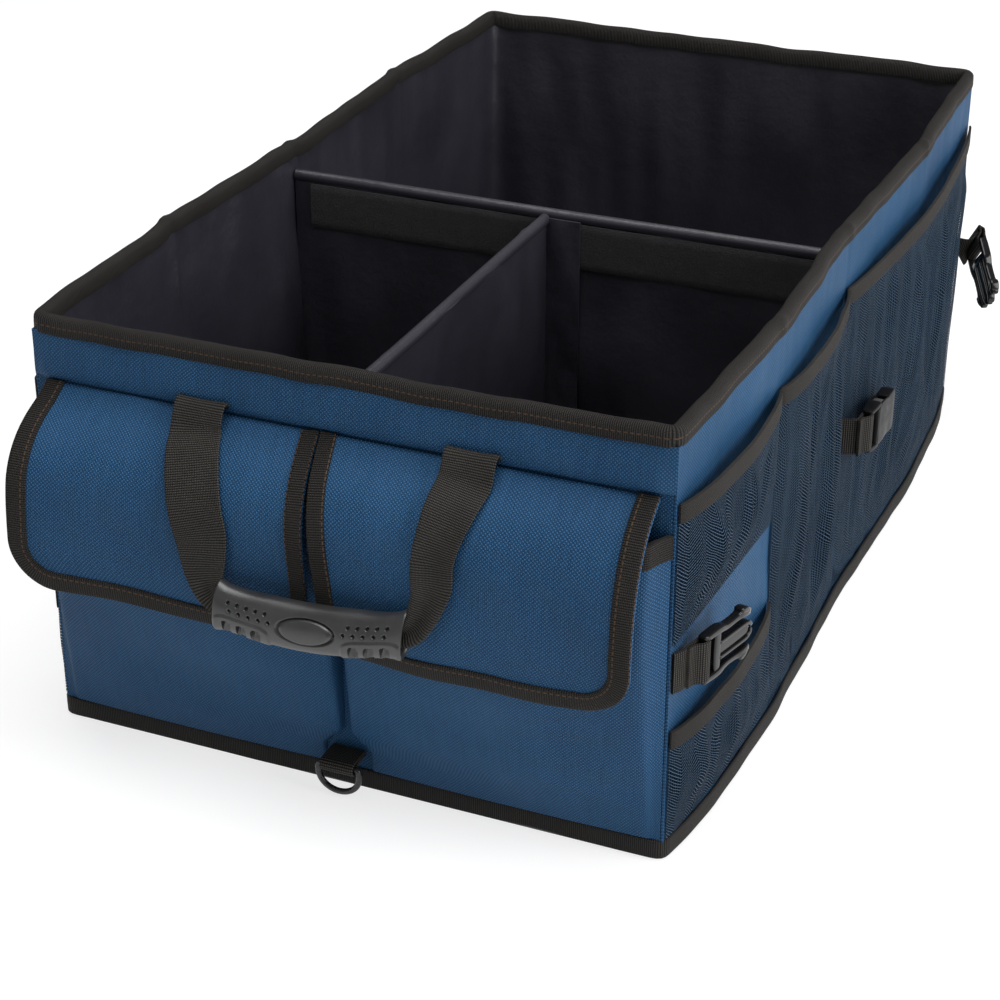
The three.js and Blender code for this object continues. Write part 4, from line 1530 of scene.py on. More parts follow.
@dataclass
class PocketFlaps:
    """The flaps that hang over the end pockets, bound with tape on three edges."""

    form: BodyForm
    wardrobe: Wardrobe
    half_width: float = 180.0
    slit_top: float = 0.3
    slit_foot: float = 4.4
    slit_lean: float = 11.0
    slit_shift: float = 1.5
    thick: float = 1.5
    dent: float = 0.9
    corner: float = 28.0
    grip_dent: float = 3.2
    tape_middle: float = 6.0
    tape_across: tuple = (0.0, 0.25, 1.0, 3.0, 6.0, 9.0, 11.3, 11.9, 12.0)
    tape_outer: tuple = (0.75, 2.1, 2.75, 2.8, 2.75, 2.8, 2.75, 2.3, 1.2)
    tape_inner: tuple = (0.75, -0.3, -0.75, -0.8, -0.75, -0.8, -0.75, -0.5, 0.2)
    slit_tape_share: float = 0.82
    slit_tape_raise: float = 0.15
    section: tuple = (
        (-320.8, 220), (-331, 213.5), (-342, 205), (-350.5, 194), (-356.5, 180),
        (-360, 163), (-361.5, 142), (-360.5, 124), (-357.5, 109),
    )

    def __post_init__(self) -> None:
        """Works out the section's curve, its length and its outward directions."""
        self.curve = smooth_path(self.section, 160)
        self.travel = lengths(self.curve)
        ahead = headings(self.curve)
        self.normals = np.stack([ahead[:, 1], -ahead[:, 0]], axis=1)
        self.length = float(self.travel[-1])

    def frame_at(self, along: Points) -> list[Points]:
        """Returns the section's y and z, and its outward direction's y and z, at distances from the seam."""
        return [np.interp(along, self.travel, column) for column in (*self.curve.T, *self.normals.T)]

    def surface(self, x: Points, along: Points, out: Points, seed: int, hang: Hang) -> Points:
        """Returns the points of a flap.

        Args:
            x: the distance from the middle of the box.
            along: the distance down from the seam.
            out: the height over the flap's inner side.
            seed: what its dents are drawn from.
            hang: how the flap hangs.

        Returns:
            Points in the shape of x and along.
        """
        x, along, out = np.broadcast_arrays(x, along, out)
        along = along * (1 - hang.shorter * ease(x, 25, self.half_width))
        y, z, out_y, out_z = self.frame_at(along)
        rumple = Rumple(seed, 85)
        flare = hang.flare * ease(x, 60, self.half_width) ** 2
        under_grip = self.grip_dent * ridge(x, 62) * ease(along, 55, 95)
        lift = out + ease(along, 5, 60) * (self.dent * rumple(x, along) + flare) - under_grip
        return grid(x, y + lift * out_y, z + lift * out_z)

    def edge_x(self, along: Points, lean: float) -> tuple[Points, Points]:
        """Returns where the slit edge and the outer edge lie.

        Args:
            along: the distance down from the seam.
            lean: how far off the middle the slit starts.

        Returns:
            The two distances from the middle of the box.
        """
        down = along / self.length
        shift = lean / self.slit_lean * self.slit_shift * down
        widened = (self.slit_foot - self.slit_top) * down**1.25
        slit = self.slit_top + widened + lean * (1 - down) ** 1.7 - shift
        below = np.clip(along - (self.length - self.corner), 0, self.corner)
        round_in = self.corner - np.sqrt(np.maximum(self.corner**2 - below**2, 0))
        return slit, self.half_width - round_in

    def edge_line(self) -> Points:
        """Draws the outer edge, the round corner and the foot.

        Returns:
            The (x, along) points.
        """
        middle = np.array([self.half_width, self.length]) - self.corner
        side = [[self.half_width, value] for value in spaced(0, middle[1], 60)]
        turns = spaced(0, math.pi / 2, 22)[1:]
        bend = [middle + [self.corner * math.cos(turn), self.corner * math.sin(turn)] for turn in turns]
        foot = [[value, self.length] for value in spaced(middle[0], self.slit_foot, 70)[1:]]
        return np.array([*side, *bend, *foot])

    def slit_line(self, lean: float) -> Points:
        """Returns the line of the slit edge as (x, along)."""
        along = spaced(0, self.length, 60)
        return np.stack([self.edge_x(along, lean)[0], along], axis=1)

    def tape(self, name: str, line: Points, slit: bool, end: End, side: Side, seed: int, hang: Hang) -> Piece:
        """Folds a tape over one edge of a flap.

        Args:
            name: the piece's name.
            line: the edge as (x, along).
            slit: whether it is the slit edge, whose tape is narrower and raised.
            end: which end of the box.
            side: which half of the end.
            seed: what the flap's dents are drawn from.
            hang: how the flap hangs.

        Returns:
            The tape, its cloth layer measured from its middle.
        """
        ahead = headings(line)
        turn = [1, -1] if slit else [-1, 1]
        inwards = ahead[:, ::-1] * turn
        share, raised = (self.slit_tape_share, self.slit_tape_raise) if slit else (1.0, 0.0)
        offset = np.array(self.tape_across) * share
        flat = line[:, None] + inwards[:, None] * offset[None, :, None]
        heights = (np.array(self.tape_outer) + raised, np.array(self.tape_inner) - raised)
        skins = [self.surface(flat[..., 0], flat[..., 1], high[None], seed, hang) for high in heights]
        piece = two_skins(name, *(end.half(side, skin) for skin in skins))
        piece.plane = piece.plane - [self.tape_middle, 0.0]
        return piece

    def flap(self, end: End, side: Side, seed: int, hang: Hang) -> None:
        """Builds one flap's cloth and binding.

        Args:
            end: the short end.
            side: its half.
            seed: the number its dents are drawn from.
            hang: how it hangs.
        """
        name = f"{end.value}_flap_{end.side_name(side)}"
        lean = self.slit_lean * (-1 if side is Side.RIGHT else 1)
        straight = spaced(0, self.length - self.corner, 40)
        bend = self.length - self.corner * (1 - np.sin(spaced(0, math.pi / 2, 16)[1:]))
        along = np.concatenate([straight, bend])[:, None]
        slit, outer = self.edge_x(along, lean)
        x = slit + (outer - slit) * spaced(0, 1, 90)[None, :]
        skins = [end.half(side, self.surface(x, along, out, seed, hang)) for out in (self.thick, 0.0)]
        cloth = dress(two_skins(f"{name}_cloth", *skins), self.wardrobe.cloth, SHELL, [name])
        tapes = [
            self.tape(f"{name}_edge_tape", self.edge_line(), False, end, side, seed, hang),
            self.tape(f"{name}_slit_tape", self.slit_line(lean), True, end, side, seed, hang),
        ]
        bound = [dress(tape, self.wardrobe.edge_tape, SHELL) for tape in tapes]

    def build(self) -> None:
        """Builds the four flaps; the left front one stands out furthest."""
        hangs = {
            (End.FRONT, Side.RIGHT): Hang(-4.0),
            (End.FRONT, Side.LEFT): Hang(11.0, 0.1),
            (End.REAR, Side.RIGHT): Hang(3.0, 0.03),
            (End.REAR, Side.LEFT): Hang(6.0, 0.05),
        }
        for index, ((end, side), hang) in enumerate(hangs.items()):
            self.flap(end, side, 81 + index, hang)


@dataclass
class CarryHandles:
    """The webbing handle of each end, folded narrow inside a moulded grip."""

    wardrobe: Wardrobe
    flaps: PocketFlaps
    width: float = 30.0
    thick: float = 1.8
    grip_x: float = 6.0
    grip_y: float = -371.8
    grip_low: float = 132.5
    grip_end: float = 138.0
    grip_half: float = 55.0
    grip_height: float = 24.0
    grip_depth: float = 16.5
    tilt: float = 0.06
    folded_half: float = 7.5
    proud: float = 3.4
    face_points: int = 108
    back_points: int = 32
    over_flap: tuple = (
        (0.55, 50.3, 82.0), (0.44, 51.8, 84.5), (0.33, 55.2, 87.5), (0.22, 59.6, 91.0), (0.12, 63.3, 93.6)
    )
    sewn: tuple = ((-332.0, 221.6), (-328.6, 227.4), (-324.9, 228.2), (-322.5, 224.6))
    sewn_x: tuple = (64.0, 94.0)
    bend_start: tuple = (0.0, -322.5, 224.2)
    bend_end: tuple = (0.0, -330.0, 216.5)
    boss: tuple = (15.4, 0.54)
    boss_level: float = 0.06
    boss_rise: float = 0.7
    boss_groove: float = 1.5
    dimple_radius: float = 1.05
    dimple_depth: float = 2.1
    slot_half: tuple = (2.7, 0.3)
    slot_depth: float = 4.6
    caps: tuple = ((0.95, 0.5), (0.84, 0.3), (0.76, -1.5), (0.7, -6.0))

    def grip_z(self, x: Points) -> Points:
        """Returns the height of the grip's centre line, which hangs a little askew."""
        return self.grip_low + (self.grip_end - self.grip_low) * (x / self.grip_half) ** 2 + self.tilt * x

    def on_flap(self, share: float) -> tuple[float, float]:
        """Returns the strap's (y, z) where it lies on the flap, at a share of the flap's length."""
        y, z, out_y, out_z = (float(value) for value in self.flaps.frame_at(self.flaps.length * share))
        return y + self.proud * out_y, z + self.proud * out_z

    def half(self, way: int) -> list[list[float]]:
        """Lays out one half of the strap.

        Args:
            way: 1 for the right half, which is pulled inwards at the grip, and -1 for the left.

        Returns:
            Knots from the grip to the sewn end, each the strap's inner edge and then its outer edge.
        """
        pulled = max(way, 0)
        knots = []
        for x in (16.0, 34.0, 46.0):
            z = float(self.grip_z(way * x))
            knots.append([(x, self.grip_y, z + self.folded_half), (x, self.grip_y, z - self.folded_half)])
        z = float(self.grip_z(way * self.grip_half))
        y = self.grip_y
        knots.append([(54.6, y + 1.5, z + 7.5), (57.0, y, z - 7.0)])
        knots.append([(56.8, y + 3.5, z + 11.5), (67.5 - 3 * pulled, y + 1.0, z - 1.5)])
        knots.append([(54.0 + 4 * pulled, y + 6.0, z + 19.0), (77.0 - 5 * pulled, y + 4.0, z + 9.5)])
        for share, inner, outer in self.over_flap:
            y, z = self.on_flap(share)
            held = pulled * float(ease(np.array(share), 0.1, 0.45))
            knots.append([(inner + 7.5 * held, y - 1.5 * held, z + 0.8), (outer - 2.0 * held, y, z)])
        for y, z in self.sewn:
            knots.append([(x, y, z) for x in self.sewn_x])

        def shifted(spot: tuple[float, float, float]) -> list[float]:
            """Returns a knot on its own half, moved along with the grip low down."""
            return [way * spot[0] + self.grip_x * float(ease(-abs(spot[2]), -190.0, -145.0)), *spot[1:]]

        return [[*shifted(inner), *shifted(outer)] for inner, outer in knots]

    def webbing(self, end: End) -> None:
        """Builds the strap from one sewn end through the grip to the other.

        Args:
            end: the short end.
        """
        heights = (self.grip_low + self.folded_half, self.grip_low - self.folded_half)
        middle = [value for z in heights for value in (self.grip_x, self.grip_y, z)]
        path = smooth_path([*self.half(-1)[::-1], middle, *self.half(1)], 250)
        inner, outer = path[:, :3], path[:, 3:]
        centre = (inner + outer) / 2
        ahead = headings(centre)
        across = inner - outer
        wide = np.linalg.norm(across, axis=1)
        sideways = unit(np.cross(ahead, unit(np.cross(across, ahead))))
        outwards = unit(np.cross(sideways, ahead))
        folded = 1 - ease(wide, 15.5, 27.0)
        section = flat_section(self.width, self.thick, 0.9, 20)
        part = section[:, 0] / (self.width / 2)
        shapes = section[None] * np.stack([wide / self.width, 1 + 1.1 * folded], axis=1)[:, None]
        pinch = folded * ease(np.abs(centre[:, 0]), 50, 56)
        shapes[:, :, 1] += (1.3 * pinch)[:, None] * np.cos(part * 4.4)[None]
        shapes[:, :, 1] -= 0.7 * (1 - folded)[:, None] * part[None] ** 2
        piece = strap(f"{end.value}_handle_strap", centre, sideways, outwards, shapes)
        piece.plane[:, 0] *= self.width / (2 * np.abs(piece.plane[:, 0]).max())
        piece.vertices = end.place(piece.vertices)
        made = piece.build(self.wardrobe.strap)
        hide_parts(f"{end.value}_handle_webbing")
        start, stop = (tuple(end.place(np.array(spot)) * MM) for spot in (self.bend_start, self.bend_end))
        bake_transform(made)
        log.info("%s: %d faces between shell and handle", made.name, len(piece.faces))

    def relief(self, x: Points, height: Points, facing: Points, below: Points) -> Points:
        """Works out how far the grip's moulding rises at each place.

        Args:
            x: the distance along the grip from its middle.
            height: the share up its face, from -1 to 1.
            facing: 1 on the front of the grip and 0 behind.
            below: 1 from the front to just above the lower edge and 0 behind.

        Returns:
            The rise in millimetres: a boss in a groove, dimples, a raised panel and finger slots.
        """
        long, high = self.boss
        oval = np.sqrt((x / long) ** 2 + ((height - self.boss_level) / high) ** 2)
        rise = self.boss_rise * ease(-oval, -1.0, -0.86) - self.boss_groove * ridge(oval - 1.07, 0.05)
        size = np.abs(x)
        for step in range(5):
            for centre, level in ((24.5 + 5.6 * step, 0.5), (22.0 + 5.9 * step, 0.16)):
                away = np.hypot(size - centre, (height - level) * self.grip_height / 2) / self.dimple_radius
                rise = rise - self.dimple_depth * ease(-away, -1.15, -0.6)
        panel = (np.abs(size - 38.0) / 17.0) ** 4 + (np.maximum(height + 0.75, 0) / 0.66) ** 4
        rise = facing * (rise + 0.8 * ease(-panel, -1.2, -0.8) * ease(self.grip_half - size, -2, 1))
        long, high = self.slot_half
        for centre in (28.6, 37.6, 46.6):
            slot = (np.abs(size - centre) / long) ** 4 + (np.abs(height + 0.6) / high) ** 4
            rise = rise - self.slot_depth * below * ease(-slot, -1.15, -0.8)
        return rise

    def grip(self, end: End) -> None:
        """Builds the moulded grip with its centre boss, dimples and finger slots.

        Args:
            end: the short end.
        """
        x = spaced(-self.grip_half, self.grip_half, 236)[:, None]
        face = spaced(-math.pi / 2, math.pi / 2, self.face_points)[:-1]
        back = spaced(math.pi / 2, math.pi * 1.5, self.back_points)[:-1]
        turn = np.concatenate([face, back])[None, :]
        share = np.abs(x) / self.grip_half
        slim = 1 - 0.07 * ridge(share - 0.74, 0.22) + 0.09 * ease(share, 0.9, 1.0)
        out = bulged(np.cos(turn), 0.86)
        up = bulged(np.sin(turn), 0.93)
        belly = 1 + 0.05 * ridge(share, 0.42) * (up < 0)
        y = out * self.grip_depth / 2 * (1 - 0.14 * ease(share, 0.55, 1.0))
        z = up * self.grip_height / 2 * slim * belly
        facing = ease(np.cos(turn), 0.12, 0.42)
        below = ease(np.cos(turn), 0.02, 0.3)
        rise = self.relief(x, z / (self.grip_height / 2), facing, below)
        scale = 1 + rise / np.hypot(y, z)
        rings = grid(x + self.grip_x, self.grip_y - y * scale + 0.25 * z, self.grip_z(x) + z * scale)
        caps = []
        for ring, way in ((rings[0], -1), (rings[-1], 1)):
            middle = ring.mean(axis=0)
            caps.append([middle + (ring - middle) * part + [way * step, 0, 0] for part, step in self.caps])
        rings = np.concatenate([caps[0][::-1], rings, caps[1]])
        across, along = np.arange(rings.shape[1]) * 0.5, np.arange(len(rings)) * 0.4
        piece = loft(f"{end.value}_moulded_grip", end.place(rings), across, along)
        body = f"{end.value}_handle"
        dress(piece, self.wardrobe.rubber, body, [f"{body}_grip"], 60)

    def build(self) -> None:
        """Builds both handles over the flaps."""
        for end in End:
            self.webbing(end)
            self.grip(end)


@dataclass
class TieRings:
    """The D-ring low on each end, on its folded tab."""

    wardrobe: Wardrobe
    wall_y: float = -320.9
    bar_y: float = -335.0
    bar_z: float = 20.5
    wire: float = 1.8
    reach: float = 12.7
    drop: float = 17.0
    shoulder: float = 0.32
    bend: float = 2.4
    tab_width: float = 21.0
    tab_thick: float = 1.7
    tab_gap: float = 1.5

    def ring(self, end: End) -> None:
        """Builds the bent wire.

        Args:
            end: the short end.
        """
        reach, bend = self.reach, self.bend
        fall = self.drop * self.shoulder
        round_drop = self.drop * (1 - self.shoulder)
        turns = spaced(0, math.pi, 24)
        bow = [[reach * math.cos(turn), -fall - round_drop * math.sin(turn)] for turn in turns]
        bar = [[-reach, -bend], [bend - reach, 0.0], [0.0, 0.0], [reach - bend, 0.0], [reach, -bend]]
        line = smooth_path([*bow, *bar, bow[0]], 110)[:-1]
        path = grid(line[:, 0], self.bar_y, line[:, 1] + self.bar_z)
        out = np.broadcast_to(np.array([0.0, -1.0, 0.0]), path.shape)
        sideways = unit(np.cross(headings(path, True), out))
        piece = strap(f"{end.value}_ring_wire", path, sideways, out, circle(14) * self.wire, True)
        piece.vertices = end.place(piece.vertices)
        dress(piece, self.wardrobe.wire, f"{end.value}_ring", [f"{end.value}_d_ring"], 80)

    def tab(self, end: End) -> None:
        """Builds the webbing folded round the ring's bar.

        Args:
            end: the short end.
        """
        bar_y, bar_z = self.bar_y, self.bar_z
        radius = self.wire + self.tab_gap
        turns = spaced(math.pi / 2, math.pi * 1.5, 14)
        loop = [[bar_y + radius * math.cos(turn), bar_z + radius * math.sin(turn)] for turn in turns]
        upper = [[self.wall_y, bar_z + radius], [-327, bar_z + radius + 0.1]]
        lower = [[-330.5, bar_z + 0.6], [-326, bar_z + 1.2], [self.wall_y, bar_z + 1.2]]
        line = smooth_path([*upper, *loop, *lower], 70)
        path = grid(0.0, line[:, 0], line[:, 1])
        side = np.broadcast_to(np.array([1.0, 0.0, 0.0]), path.shape)
        section = flat_section(self.tab_width, self.tab_thick, 0.7)
        outwards = unit(np.cross(headings(path), side))
        piece = strap(f"{end.value}_ring_webbing", path, side, outwards, section)
        piece.vertices = end.place(piece.vertices)
        dress(piece, self.wardrobe.clip_strap, SHELL, [f"{end.value}_ring_tab"])

    def build(self) -> None:
        """Builds both rings and their tabs."""
        for end in End:
            self.ring(end)
            self.tab(end)


@dataclass
class NetPockets:
    """The slack net pockets of the long walls, each with an elastic mouth."""

    form: BodyForm
    wardrobe: Wardrobe
    mouth: float = 11.0
    seam: float = 1.2
    meet: float = 0.4
    foot: float = 12.6
    top: float = 218.0
    upper_foot: float = 134.0
    lower_top: float = 82.0
    wall_gap: float = 0.8
    mouth_depth: float = 9.0
    belly_depth: float = 11.0
    slack_fold: float = 3.3
    gather_fold: float = 1.3
    tight_y: float = 22.0
    tight_width: float = 34.0
    loose_height: float = 45.0
    ease_in: float = 6.0

    def net(self, side: Side, label: str, span: tuple, rise: tuple, seed: int) -> None:
        """Builds one net and its elastic mouth.

        Args:
            side: which long wall.
            label: the pocket's name in the record.
            span: where it starts and ends along the wall.
            rise: its foot and its top.
            seed: what its gathers are drawn from.
        """
        low, high = rise
        elastic = high - self.mouth
        width = span[1] - span[0]
        y = spaced(*span, round(width / 2.1))[None, :]
        slack = Rumple(seed, 42)
        gather = Rumple(seed + 40, 13)
        sideways = np.sin(np.pi * np.clip((y - span[0]) / width, 0, 1)) ** 0.6
        tight = 1 - 0.75 * ridge(y - self.tight_y, self.tight_width)

        def skin(z: Points, lift: float) -> Points:
            """Lays out the net's surface.

            Args:
                z: its heights.
                lift: how far out it is moved.

            Returns:
                Its points.
            """
            up = (z - low) / (high - low)
            belly = self.belly_depth * ease(up, 0, 0.55) * (1 - up) + self.mouth_depth * up
            calm = 1 - ease(z, elastic - 26, elastic + 1)
            folds = self.slack_fold * tight * slack(y, z * 0.14) * (0.1 + 0.9 * calm)
            folds = folds + self.gather_fold * gather(y, z * 0.1) * calm
            out = sideways * (belly + folds * ease(z - low, 0, self.loose_height) * 0.9) + lift
            wall = self.form.side_x(y) + self.form.swell(y, z) + self.wall_gap
            return side.place(grid(wall + np.maximum(out, 0.4), y, z))

        z = spaced(low, elastic + 1, round((elastic - low) / 3.2))[:, None]
        name = f"{side.value}_mesh_{label}"
        net = two_skins(f"{name}_net", skin(z, 0.3), skin(z, 0.0))
        cloth = dress(net, self.wardrobe.net, SHELL, [name], 70)
        band_z = spaced(elastic, high, 8)[:, None]
        band = two_skins(f"{name}_elastic", skin(band_z, 1.3), skin(band_z, -0.5))
        hem = dress(band, self.wardrobe.elastic, SHELL)
        cut = ((width + self.ease_in) * MM, (elastic - low) * MM)

    def build(self) -> None:
        """Builds four pockets on each long wall."""
        form = self.form
        front = form.folds[0]
        first = (-form.half_length + self.seam, front - self.meet)
        second = (front + self.meet, form.divider_y - self.meet)
        third = (form.divider_y + self.meet, form.half_length - self.seam)
        pockets = (
            ("upper", first, (self.upper_foot, self.top)),
            ("lower", first, (self.foot, self.lower_top)),
            ("middle", second, (self.foot, self.top)),
            ("long", third, (self.foot, self.top)),
        )
        for start, side in ((100, Side.RIGHT), (120, Side.LEFT)):
            for offset, (label, span, rise) in enumerate(pockets):
                self.net(side, label, span, rise, start + offset)


@dataclass(frozen=True)
class ClipSeat:
    """Where a clip hangs on the right wall: its seam, its bar, its turn from +Y and its droop in degrees."""

    root: tuple
    bar: tuple
    turn: float
    droop: float = 0.0

    def axes(self) -> Points:
        """Works out the clip's outward, lengthwise and crosswise directions.

        Returns:
            Them, as rows.
        """
        turn, droop = math.radians(self.turn), math.radians(self.droop)
        out = np.array([math.cos(turn), math.sin(turn), 0.0])
        level = np.array([-math.sin(turn), math.cos(turn), 0.0])
        rise = np.array([0.0, 0.0, 1.0])
        lengthwise = level * math.cos(droop) - rise * math.sin(droop)
        return np.stack([out, lengthwise, level * math.sin(droop) + rise * math.cos(droop)])

    def place(self, points: Points) -> Points:
        """Returns points given as (out, lengthwise, crosswise) where they belong on the right wall."""
        return np.array(self.bar) + points @ self.axes()


@dataclass
class SideClips:
    """The webbing tabs and moulded clip halves on the long walls."""

    wardrobe: Wardrobe
    bar_radius: float = 1.8
    webbing: float = 25.0
    webbing_thick: float = 1.7
    webbing_gap: float = 0.3
    plug_thick: float = 6.2
    squareness: float = 0.42
    cap_steps: tuple = (0.0, 0.35, 0.9)
    cap_shares: tuple = (0.55, 0.82, 0.95)
    seats: tuple = (
        ("front", ClipSeat((189.2, -318.5, 118.0), (199.0, -298.0, 118.0), -15.0)),
        ("middle", ClipSeat((190.6, -12.0, 118.0), (206.0, 3.0, 118.0), -4.0)),
        ("rear", ClipSeat((189.2, 318.5, 120.0), (203.0, 322.0, 124.0), -145.0, 42.0)),
    )

    def bar(self, *knots: tuple[float, float, float, float, float]) -> Piece:
        """Builds one rounded bar of a moulding in the clip's own directions.

        Args:
            knots: its middle line as (out, lengthwise, crosswise), each with its width in the clip's
                plane and its thickness.

        Returns:
            The bar.
        """
        line = smooth_path(knots, 34)
        middle, sizes = line[:, :3], line[:, 3:]
        way = headings(middle)
        out = np.array([1.0, 0.0, 0.0])
        across = unit(np.cross(np.broadcast_to(out, way.shape), way))
        shape = bulged(circle(28), self.squareness) / 2
        travel = lengths(middle)
        keep = (travel > 1.5) & (travel < travel[-1] - 1.5)
        steps, caps = np.array(self.cap_steps), np.array(self.cap_shares)
        stations = np.concatenate([steps, travel[keep], travel[-1] - steps[::-1]])
        scale = np.concatenate([caps, np.ones(int(keep.sum())), caps[::-1]])[:, None]

        def at(values: Points) -> Points:
            """Returns the columns of values at the stations."""
            return np.stack([np.interp(stations, travel, column) for column in values.T], axis=1)

        sizes = at(sizes) * scale
        sideways = unit(at(across))[:, None] * shape[None, :, :1] * sizes[:, None, :1]
        rings = at(middle)[:, None] + sideways + out * shape[None, :, 1:] * sizes[:, None, 1:]
        return loft("bar", rings, np.arange(len(shape)) * 0.6, stations)

    def plug(self) -> list[Piece]:
        """Shapes a plug: its frame, its two sprung arms, their knobs and its middle prong.

        Returns:
            The pieces.
        """
        thick = self.plug_thick
        parts = [
            self.bar((0, 0, -13, 3.6, 3.6), (0, 0, 0, 3.6, 3.6), (0, 0, 13, 3.6, 3.6)),
            self.bar((0, 11.2, -13.4, 5.6, 4.6), (0.2, 10.6, 0, 6.4, 4.8), (0, 11.2, 13.4, 5.6, 4.6)),
        ]
        for way in (-1, 1):
            parts.append(self.bar(
                (0, -2.2, way * 12.9, 3.6, 6.0), (0, 6, way * 13.2, 3.9, thick),
                (0, 13, way * 12.9, 4.3, thick), (0, 20, way * 11.6, 3.6, 5.4),
                (0, 30, way * 11.9, 3.7, 5.2), (0, 34, way * 12.3, 5.0, 5.8),
                (0, 38, way * 12.0, 5.2, 5.8), (0, 42.6, way * 10.9, 4.0, 5.0),
            ))
            parts.append(self.bar(
                (0, 32.4, way * 14.2, 3.0, thick), (0, 36, way * 14.3, 3.6, thick),
                (0, 40.5, way * 12.6, 3.2, 5.6),
            ))
            parts.append(self.bar(
                (0, 12, way * 4.6, 2.6, 5.8), (0, 26, way * 4.7, 2.6, 5.6), (0, 38, way * 4.6, 2.6, 5.4),
                (0, 42.4, way * 3.2, 2.6, 5.0), (0, 44.2, way * 0.6, 2.6, 4.8),
            ))
        parts.append(self.bar((0, 12, 0, 9.4, 3.6), (0, 26, 0, 9.4, 3.4), (0, 42.5, 0, 7.0, 3.2)))
        return parts

    def socket(self) -> list[Piece]:
        """Shapes a socket: its frame, its waisted sides and its two faces.

        Returns:
            The pieces.
        """
        parts = [
            self.bar((0, 0, -13.2, 3.6, 3.8), (0, 0, 0, 3.6, 3.8), (0, 0, 13.2, 3.6, 3.8)),
            self.bar((0, 10.5, -13.2, 5.0, 8.6), (0, 10.5, 0, 5.0, 9.2), (0, 10.5, 13.2, 5.0, 8.6)),
        ]
        for way in (-1, 1):
            parts.append(self.bar(
                (0, -2.0, way * 13.0, 3.4, 6.4), (0, 8, way * 13.8, 3.8, 8.6), (0, 14, way * 13.9, 3.4, 8.8)
            ))
            parts.append(self.bar(
                (0, 27, way * 11.8, 3.6, 8.8), (0, 31, way * 12.3, 3.8, 8.8),
                (0, 37, way * 12.6, 3.6, 8.8), (0, 40.6, way * 12.0, 3.0, 8.2),
            ))
            parts.append(self.bar(
                (way * 3.7, 9.5, 0, 28.0, 1.9), (way * 3.9, 20, 0, 28.6, 1.9), (way * 3.8, 28, 0, 26.0, 1.8),
                (way * 3.7, 36, 0, 27.6, 1.9), (way * 3.5, 40.6, 0, 25.4, 1.8),
            ))
        return parts

    def tab(self, name: str, seat: ClipSeat) -> Piece:
        """Shapes the webbing sewn in the seam and looped round the clip's bar.

        Args:
            name: of the piece.
            seat: how the clip hangs.

        Returns:
            The piece.
        """
        radius = self.bar_radius + self.webbing_gap + self.webbing_thick / 2
        tail = self.webbing_thick + 0.35 - radius
        turns = [math.radians(angle) for angle in (150, 120, 90, 60, 30)]
        loop = [[radius * math.cos(turn), radius * math.sin(turn)] for turn in turns]
        outer = [[-radius, -10.5], [-radius - 0.1, -5], [-radius, 0]]
        inner = [[radius, 0], [radius - 0.3, -3.4], [tail + 0.5, -7.6], [tail, -11.2], [tail, -13.2]]
        points = [seat.place(np.array([out, ahead, 0.0])) for out, ahead in [*outer, *loop, *inner]]
        middle = 0.5 * (np.array(seat.root) + points[0]) + [1.2, 0.0, 0.0]
        path = smooth_path([seat.root, middle, *points], 96)
        share = ease(lengths(path), 1.0, 12.0)[:, None]
        across = unit((1 - share) * np.array([0.0, 0.0, 1.0]) + share * seat.axes()[2])
        ahead = headings(path)
        outwards = unit(np.cross(ahead, across))
        section = flat_section(self.webbing, self.webbing_thick, 0.8, 14)
        return strap(name, path, unit(np.cross(outwards, ahead)), outwards, section)

    def clip(self, side: Side, place: str, seat: ClipSeat) -> None:
        """Builds one tab and the clip half that hangs in it.

        Args:
            side: the long side.
            place: where along it.
            seat: how the clip hangs.
        """
        name = f"{side.value}_{place}"
        tab = self.tab(f"{name}_webbing", seat)
        tab.vertices = side.place(tab.vertices)
        dress(tab, self.wardrobe.clip_strap, SHELL, [f"{name}_tab"])
        if place == "middle":
            made, finish = joined(f"{name}_socket", self.socket()), self.wardrobe.socket_plastic
        else:
            made, finish = joined(f"{name}_plug", self.plug()), self.wardrobe.plug_plastic
        made.vertices = side.place(seat.place(made.vertices))
        dress(made, finish, f"{name}_clip", [f"{name}_buckle"], 50)

    def build(self) -> None:
        """Builds all six clips."""
        for side in Side:
            for place, seat in self.seats:
                self.clip(side, place, seat)


@dataclass
class StiffenerBoards:
    """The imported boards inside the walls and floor, which keep their own shape."""

    wardrobe: Wardrobe

    def build(self) -> None:
        """Gives every board its finish."""
        for name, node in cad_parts.items():
            if "_board" in name:
                node.data.materials.clear()
                node.data.materials.append(self.wardrobe.board)
                log.info("%s: finished as board", name)


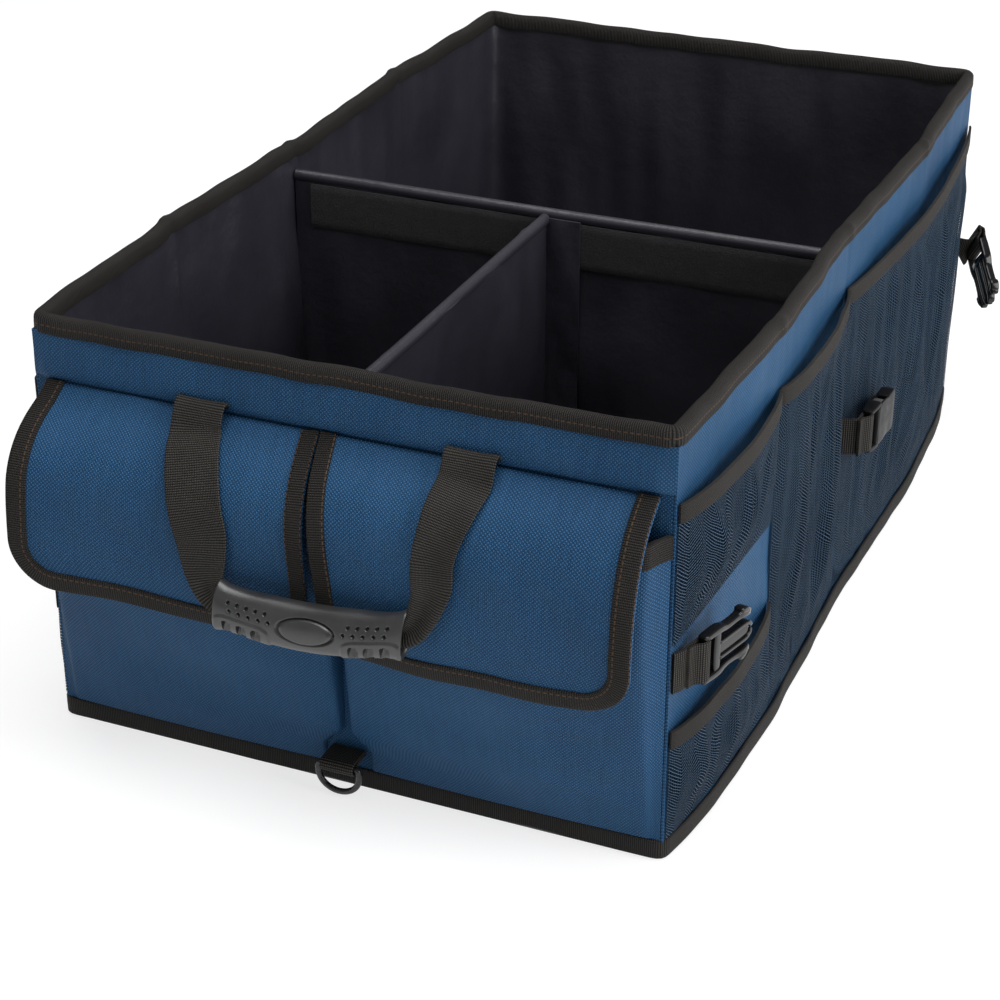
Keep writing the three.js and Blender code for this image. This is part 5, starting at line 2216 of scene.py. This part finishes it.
@dataclass
class Studio:
    """The camera at the photograph's place, the pale floor and the lamps."""

    wardrobe: Wardrobe
    azimuth: float = 22.90006
    elevation: float = 27.72050
    roll: float = 0.1392
    distance: float = 1551.6013
    focal: float = 2.3634
    shift_right: float = -39.8648
    shift_up: float = -90.8023
    aim_height: float = 130.0
    sensor: float = 36.0
    floor_reach: float = 14000.0
    floor_drop: float = 0.6
    floor_thick: float = 5.0
    room_light: float = 0.19

    def camera(self) -> None:
        """Places the camera from the fitted view."""
        around, above, roll = (math.radians(angle) for angle in (self.azimuth, self.elevation, self.roll))
        level = Vector((math.cos(around), math.sin(around), 0))
        away = Vector((math.sin(around), -math.cos(around), 0))
        back = away * math.cos(above) + Vector((0, 0, math.sin(above)))
        rise = back.cross(level)
        right = level * math.cos(roll) + rise * math.sin(roll)
        up = rise * math.cos(roll) - level * math.sin(roll)
        aim = Vector((0, 0, self.aim_height))
        spot = back * self.distance + level * self.shift_right + rise * self.shift_up + aim
        lens = bpy.data.cameras.new("photo_camera")
        lens.sensor_width = self.sensor
        lens.lens = self.sensor * self.focal
        lens.clip_end = 50
        camera = bpy.data.objects.new("photo_camera", lens)
        camera.matrix_world = Matrix.Translation(spot * MM) @ Matrix((right, up, back)).transposed().to_4x4()
        bpy.context.scene.collection.objects.link(camera)
        bpy.context.scene.camera = camera

    def floor(self) -> None:
        """Lays the floor."""
        x, y = np.meshgrid(*[spaced(-self.floor_reach, self.floor_reach, 8)] * 2)
        top = grid(x, y, -self.floor_drop)
        made = two_skins("floor", top, top - [0, 0, self.floor_thick]).build(self.wardrobe.ground)

    def lamp(self, name: str, spot: Sequence[float], size: float, power: float) -> None:
        """Hangs a soft square lamp that faces the middle of the box.

        Args:
            name: the lamp's name.
            spot: its place in metres.
            size: its width in metres.
            power: its power in watts.
        """
        light = bpy.data.lights.new(name, "AREA")
        light.size = size
        light.energy = power
        made = bpy.data.objects.new(name, light)
        made.location = spot
        made.rotation_mode = "QUATERNION"
        made.rotation_quaternion = (Vector(spot) - Vector((0, 0, 0.12))).to_track_quat("Z", "Y")
        bpy.context.scene.collection.objects.link(made)

    def room(self) -> None:
        """Fills the room with even light and shows white to the camera."""
        world = bpy.data.worlds.new("studio_room")
        bpy.context.scene.world = world
        bench = NodeBench(world)
        seen = bench.wire(bench.node("LightPath"), "Is Camera Ray")
        shown = bench.node("MapRange", None, {"Value": seen, "To Min": self.room_light, "To Max": 1.0})
        light = {"Color": (1.0, 1.0, 1.0), "Strength": bench.wire(shown)}
        glow = bench.wire(bench.node("Background", None, light))
        bench.node("OutputWorld", None, {"Surface": glow})

    def build(self) -> None:
        """Sets up the whole studio."""
        self.camera()
        self.floor()
        self.room()
        self.lamp("overhead_softbox", (0.1, -0.2, 2.6), 2.0, 54)
        self.lamp("right_softbox", (2.6, -0.2, 1.35), 1.8, 56)
        self.lamp("front_softbox", (-0.9, -2.6, 1.6), 1.6, 2)
        bpy.context.scene.view_settings.view_transform = "Standard"


def main() -> None:
    """Builds the organizer piece by piece and the studio around it."""
    logging.basicConfig(level=logging.INFO, format="%(name)s %(message)s")
    form = BodyForm()
    wardrobe = Wardrobe()
    flaps = PocketFlaps(form, wardrobe)
    parts = (
        OuterWalls(form, wardrobe),
        EdgeBindings(form, wardrobe),
        InnerLining(form, wardrobe),
        Dividers(form, wardrobe),
        EndPockets(form, wardrobe),
        flaps,
        CarryHandles(wardrobe, flaps),
        TieRings(wardrobe),
        NetPockets(form, wardrobe),
        SideClips(wardrobe),
        StiffenerBoards(wardrobe),
        Studio(wardrobe),
    )
    for part in parts:
        part.build()


if __name__ == "__main__":
    main()
